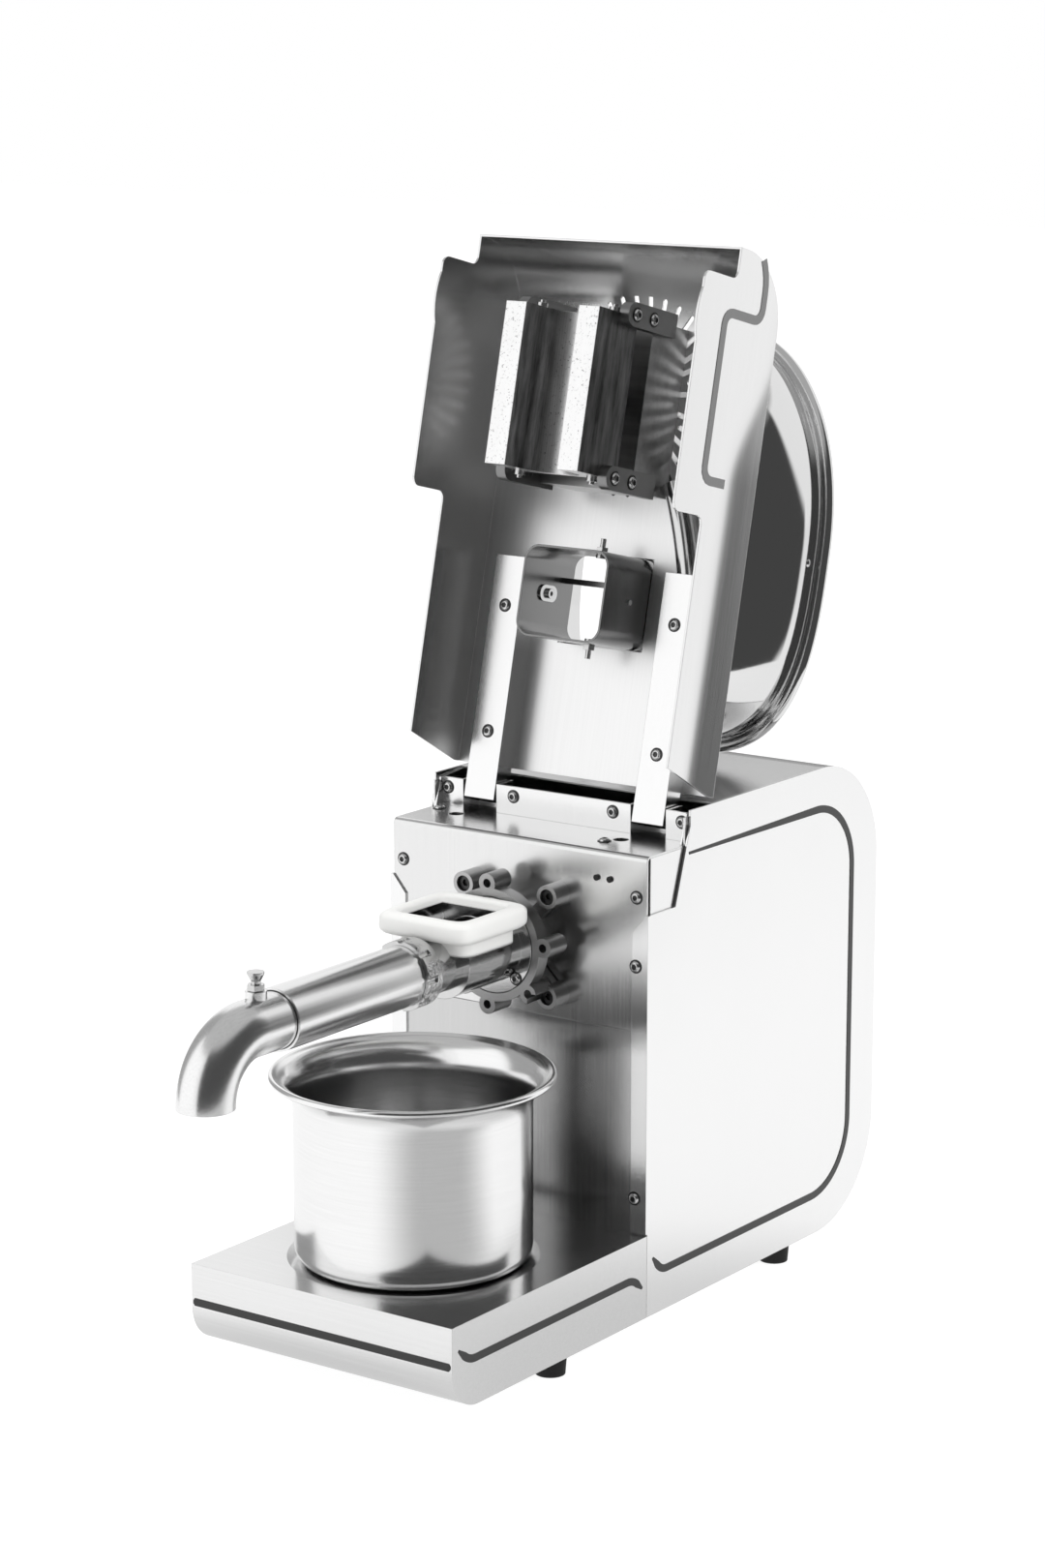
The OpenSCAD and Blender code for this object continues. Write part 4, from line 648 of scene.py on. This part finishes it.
def card(name, azimuth, near, far, tone, fade_ends, fade_far, fade_near=0.001):
    """A curved card round the press, which only shows in its metal: azimuth in degrees from the front (-Y)
    towards the right (+X), near and far edges as (radius, height). Its borders fade out."""
    verts, coords = [], []
    for k in range(CARD_STEPS + 1):
        a = math.radians(azimuth[0] + (azimuth[1] - azimuth[0]) * k / CARD_STEPS)
        for v, (radius, z) in enumerate((near, far)):
            verts.append((radius * math.sin(a), -radius * math.cos(a), z))
            coords.append((k / CARD_STEPS, v))
    mesh = bpy.data.meshes.new(name)
    mesh.from_pydata(verts, [], [(2 * k, 2 * k + 2, 2 * k + 3, 2 * k + 1) for k in range(CARD_STEPS)])
    layer = mesh.uv_layers.new(name="card")
    for loop in mesh.loops:
        layer.data[loop.index].uv = coords[loop.vertex_index]
    obj = put(name, mesh)
    obj.visible_camera = obj.visible_diffuse = obj.visible_shadow = obj.visible_transmission = False
    mat, t = blank(name + "_cloth")
    uv = add(t, "SeparateXYZ", [("Vector", add(t, "TexCoord").outputs["UV"])])
    ends = add(t, "Math", [(0, uv.outputs["X"])], operation="PINGPONG")
    ends.inputs[1].default_value = 0.5
    side = add(t, "MapRange", [("Value", ends.outputs[0])], interpolation_type="SMOOTHSTEP", From_Max=fade_ends)
    top = add(t, "MapRange", [("Value", uv.outputs["Y"])], interpolation_type="SMOOTHSTEP",
              From_Min=1.0, From_Max=1.0 - fade_far)
    foot = add(t, "MapRange", [("Value", uv.outputs["Y"])], interpolation_type="SMOOTHSTEP", From_Max=fade_near)
    mask = add(t, "Math", [(0, side.outputs[0]), (1, top.outputs[0])], operation="MULTIPLY")
    mask = add(t, "Math", [(0, mask.outputs[0]), (1, foot.outputs[0])], operation="MULTIPLY")
    clear = add(t, "BsdfTransparent")
    cloth = add(t, "Emission", Color=(tone, tone, tone, 1), Strength=1.0)
    faded = add(t, "MixShader", [("Fac", mask.outputs[0]), (1, clear.outputs[0]), (2, cloth.outputs[0])])
    add(t, "OutputMaterial", [("Surface", faded.outputs[0])])
    mesh.materials.append(mat)


# Right: dark lines in bowl, tubes and hopper. Front: light on the lid's plate, the straps and the front panel
card("dark_card_right", (2, 138), (0.95, 0.0), (0.95, 1.5), 0.07, 0.04, 0.3)
card("white_card_front", (-66, -2), (1.5, 0.0), (1.5, 1.9), 1.1, 0.15, 0.2)
# Left, rear and overhead: tone of the lid's walls, the tray's top and the top cover
card("grey_card_left", (-118, -62), (1.1, 0.0), (1.1, 2.0), 0.38, 0.2, 0.2)
card("grey_card_rear", (-185, -134), (1.2, 0.0), (1.2, 0.75), 0.26, 0.18, 0.5)
card("grey_card_top", (-180, 180), (0.0, 1.7), (1.7, 1.7), 0.5, 0.001, 0.25)
# On the floor: shade in the lower edges of the tray and the bowl
card("grey_card_floor", (-2, 106), (0.16, 0.001), (0.9, 0.001), 0.52, 0.36, 0.4, 0.15)
card("shade_round_feet", (-180, 180), (0.02, 0.0008), (0.28, 0.0008), 0.7, 0.001, 0.6)


def seen_rays(tree):
    """The Light Path node, and 1 for what the camera sees, straight on or in metal and glass."""
    path = add(tree, "LightPath")
    seen = add(tree, "Math", [(0, path.outputs["Is Camera Ray"]), (1, path.outputs["Is Glossy Ray"])],
               operation="ADD")
    seen = add(tree, "Math", [(0, seen.outputs[0]), (1, path.outputs["Is Transmission Ray"])], operation="ADD",
               use_clamp=True)
    return path, seen


# Floor: matte, and partly white by itself where it is seen, so that the press keeps a faint shadow on it
FLOOR_HALF, FLOOR_GLOW, GLOW_IN_METAL, GLOW_STRAIGHT = 8, 0.62, 1.16, 1.36
floor_mesh = bpy.data.meshes.new("floor")
floor_mesh.from_pydata([(x * FLOOR_HALF, y * FLOOR_HALF, 0) for x, y in ((-1, -1), (1, -1), (1, 1), (-1, 1))], [],
                       [(0, 1, 2, 3)])
floor = put("floor", floor_mesh)
floor_mat, t = blank("pale_floor")
path, seen = seen_rays(t)
share = add(t, "MapRange", [("Value", seen.outputs[0])], To_Min=0.0, To_Max=FLOOR_GLOW)
matte = add(t, "BsdfDiffuse", Color=hexcol("#F2F2F2"))
bright = add(t, "MapRange", [("Value", path.outputs["Is Camera Ray"])], To_Min=GLOW_IN_METAL, To_Max=GLOW_STRAIGHT)
glow = add(t, "Emission", [("Strength", bright.outputs[0])], Color=(1, 1, 1, 1))
pale = add(t, "MixShader", [("Fac", share.outputs[0]), (1, matte.outputs[0]), (2, glow.outputs[0])])
add(t, "OutputMaterial", [("Surface", pale.outputs[0])])
floor_mesh.materials.append(floor_mat)

# Background: white where it is seen, a softer room as light
ROOM_LIGHT = 0.7
world = bpy.data.worlds.new("studio")
scene.world = world
world.use_nodes = True
t = world.node_tree
t.nodes.clear()
seen = seen_rays(t)[1]
room = add(t, "Background", Color=(1, 1, 1, 1), Strength=ROOM_LIGHT)
white = add(t, "Background", Color=(1, 1, 1, 1), Strength=1.0)
both = add(t, "MixShader", [("Fac", seen.outputs[0]), (1, room.outputs[0]), (2, white.outputs[0])])
add(t, "OutputWorld", [("Surface", both.outputs[0])])

# Camera: lens in mm, place and aim in the machine frame, solved from the casing's straight edges
cam_data = bpy.data.cameras.new("camera")
cam_data.lens, cam_data.sensor_width = 87.67, 36.0
cam = put("camera", cam_data)
cam.location = mach(1163.49, -1620.08, 710.20)
cam.rotation_euler = (mach(3.2, 0.0, 283.0) - cam.location).to_track_quat("-Z", "Y").to_euler()
scene.camera = cam
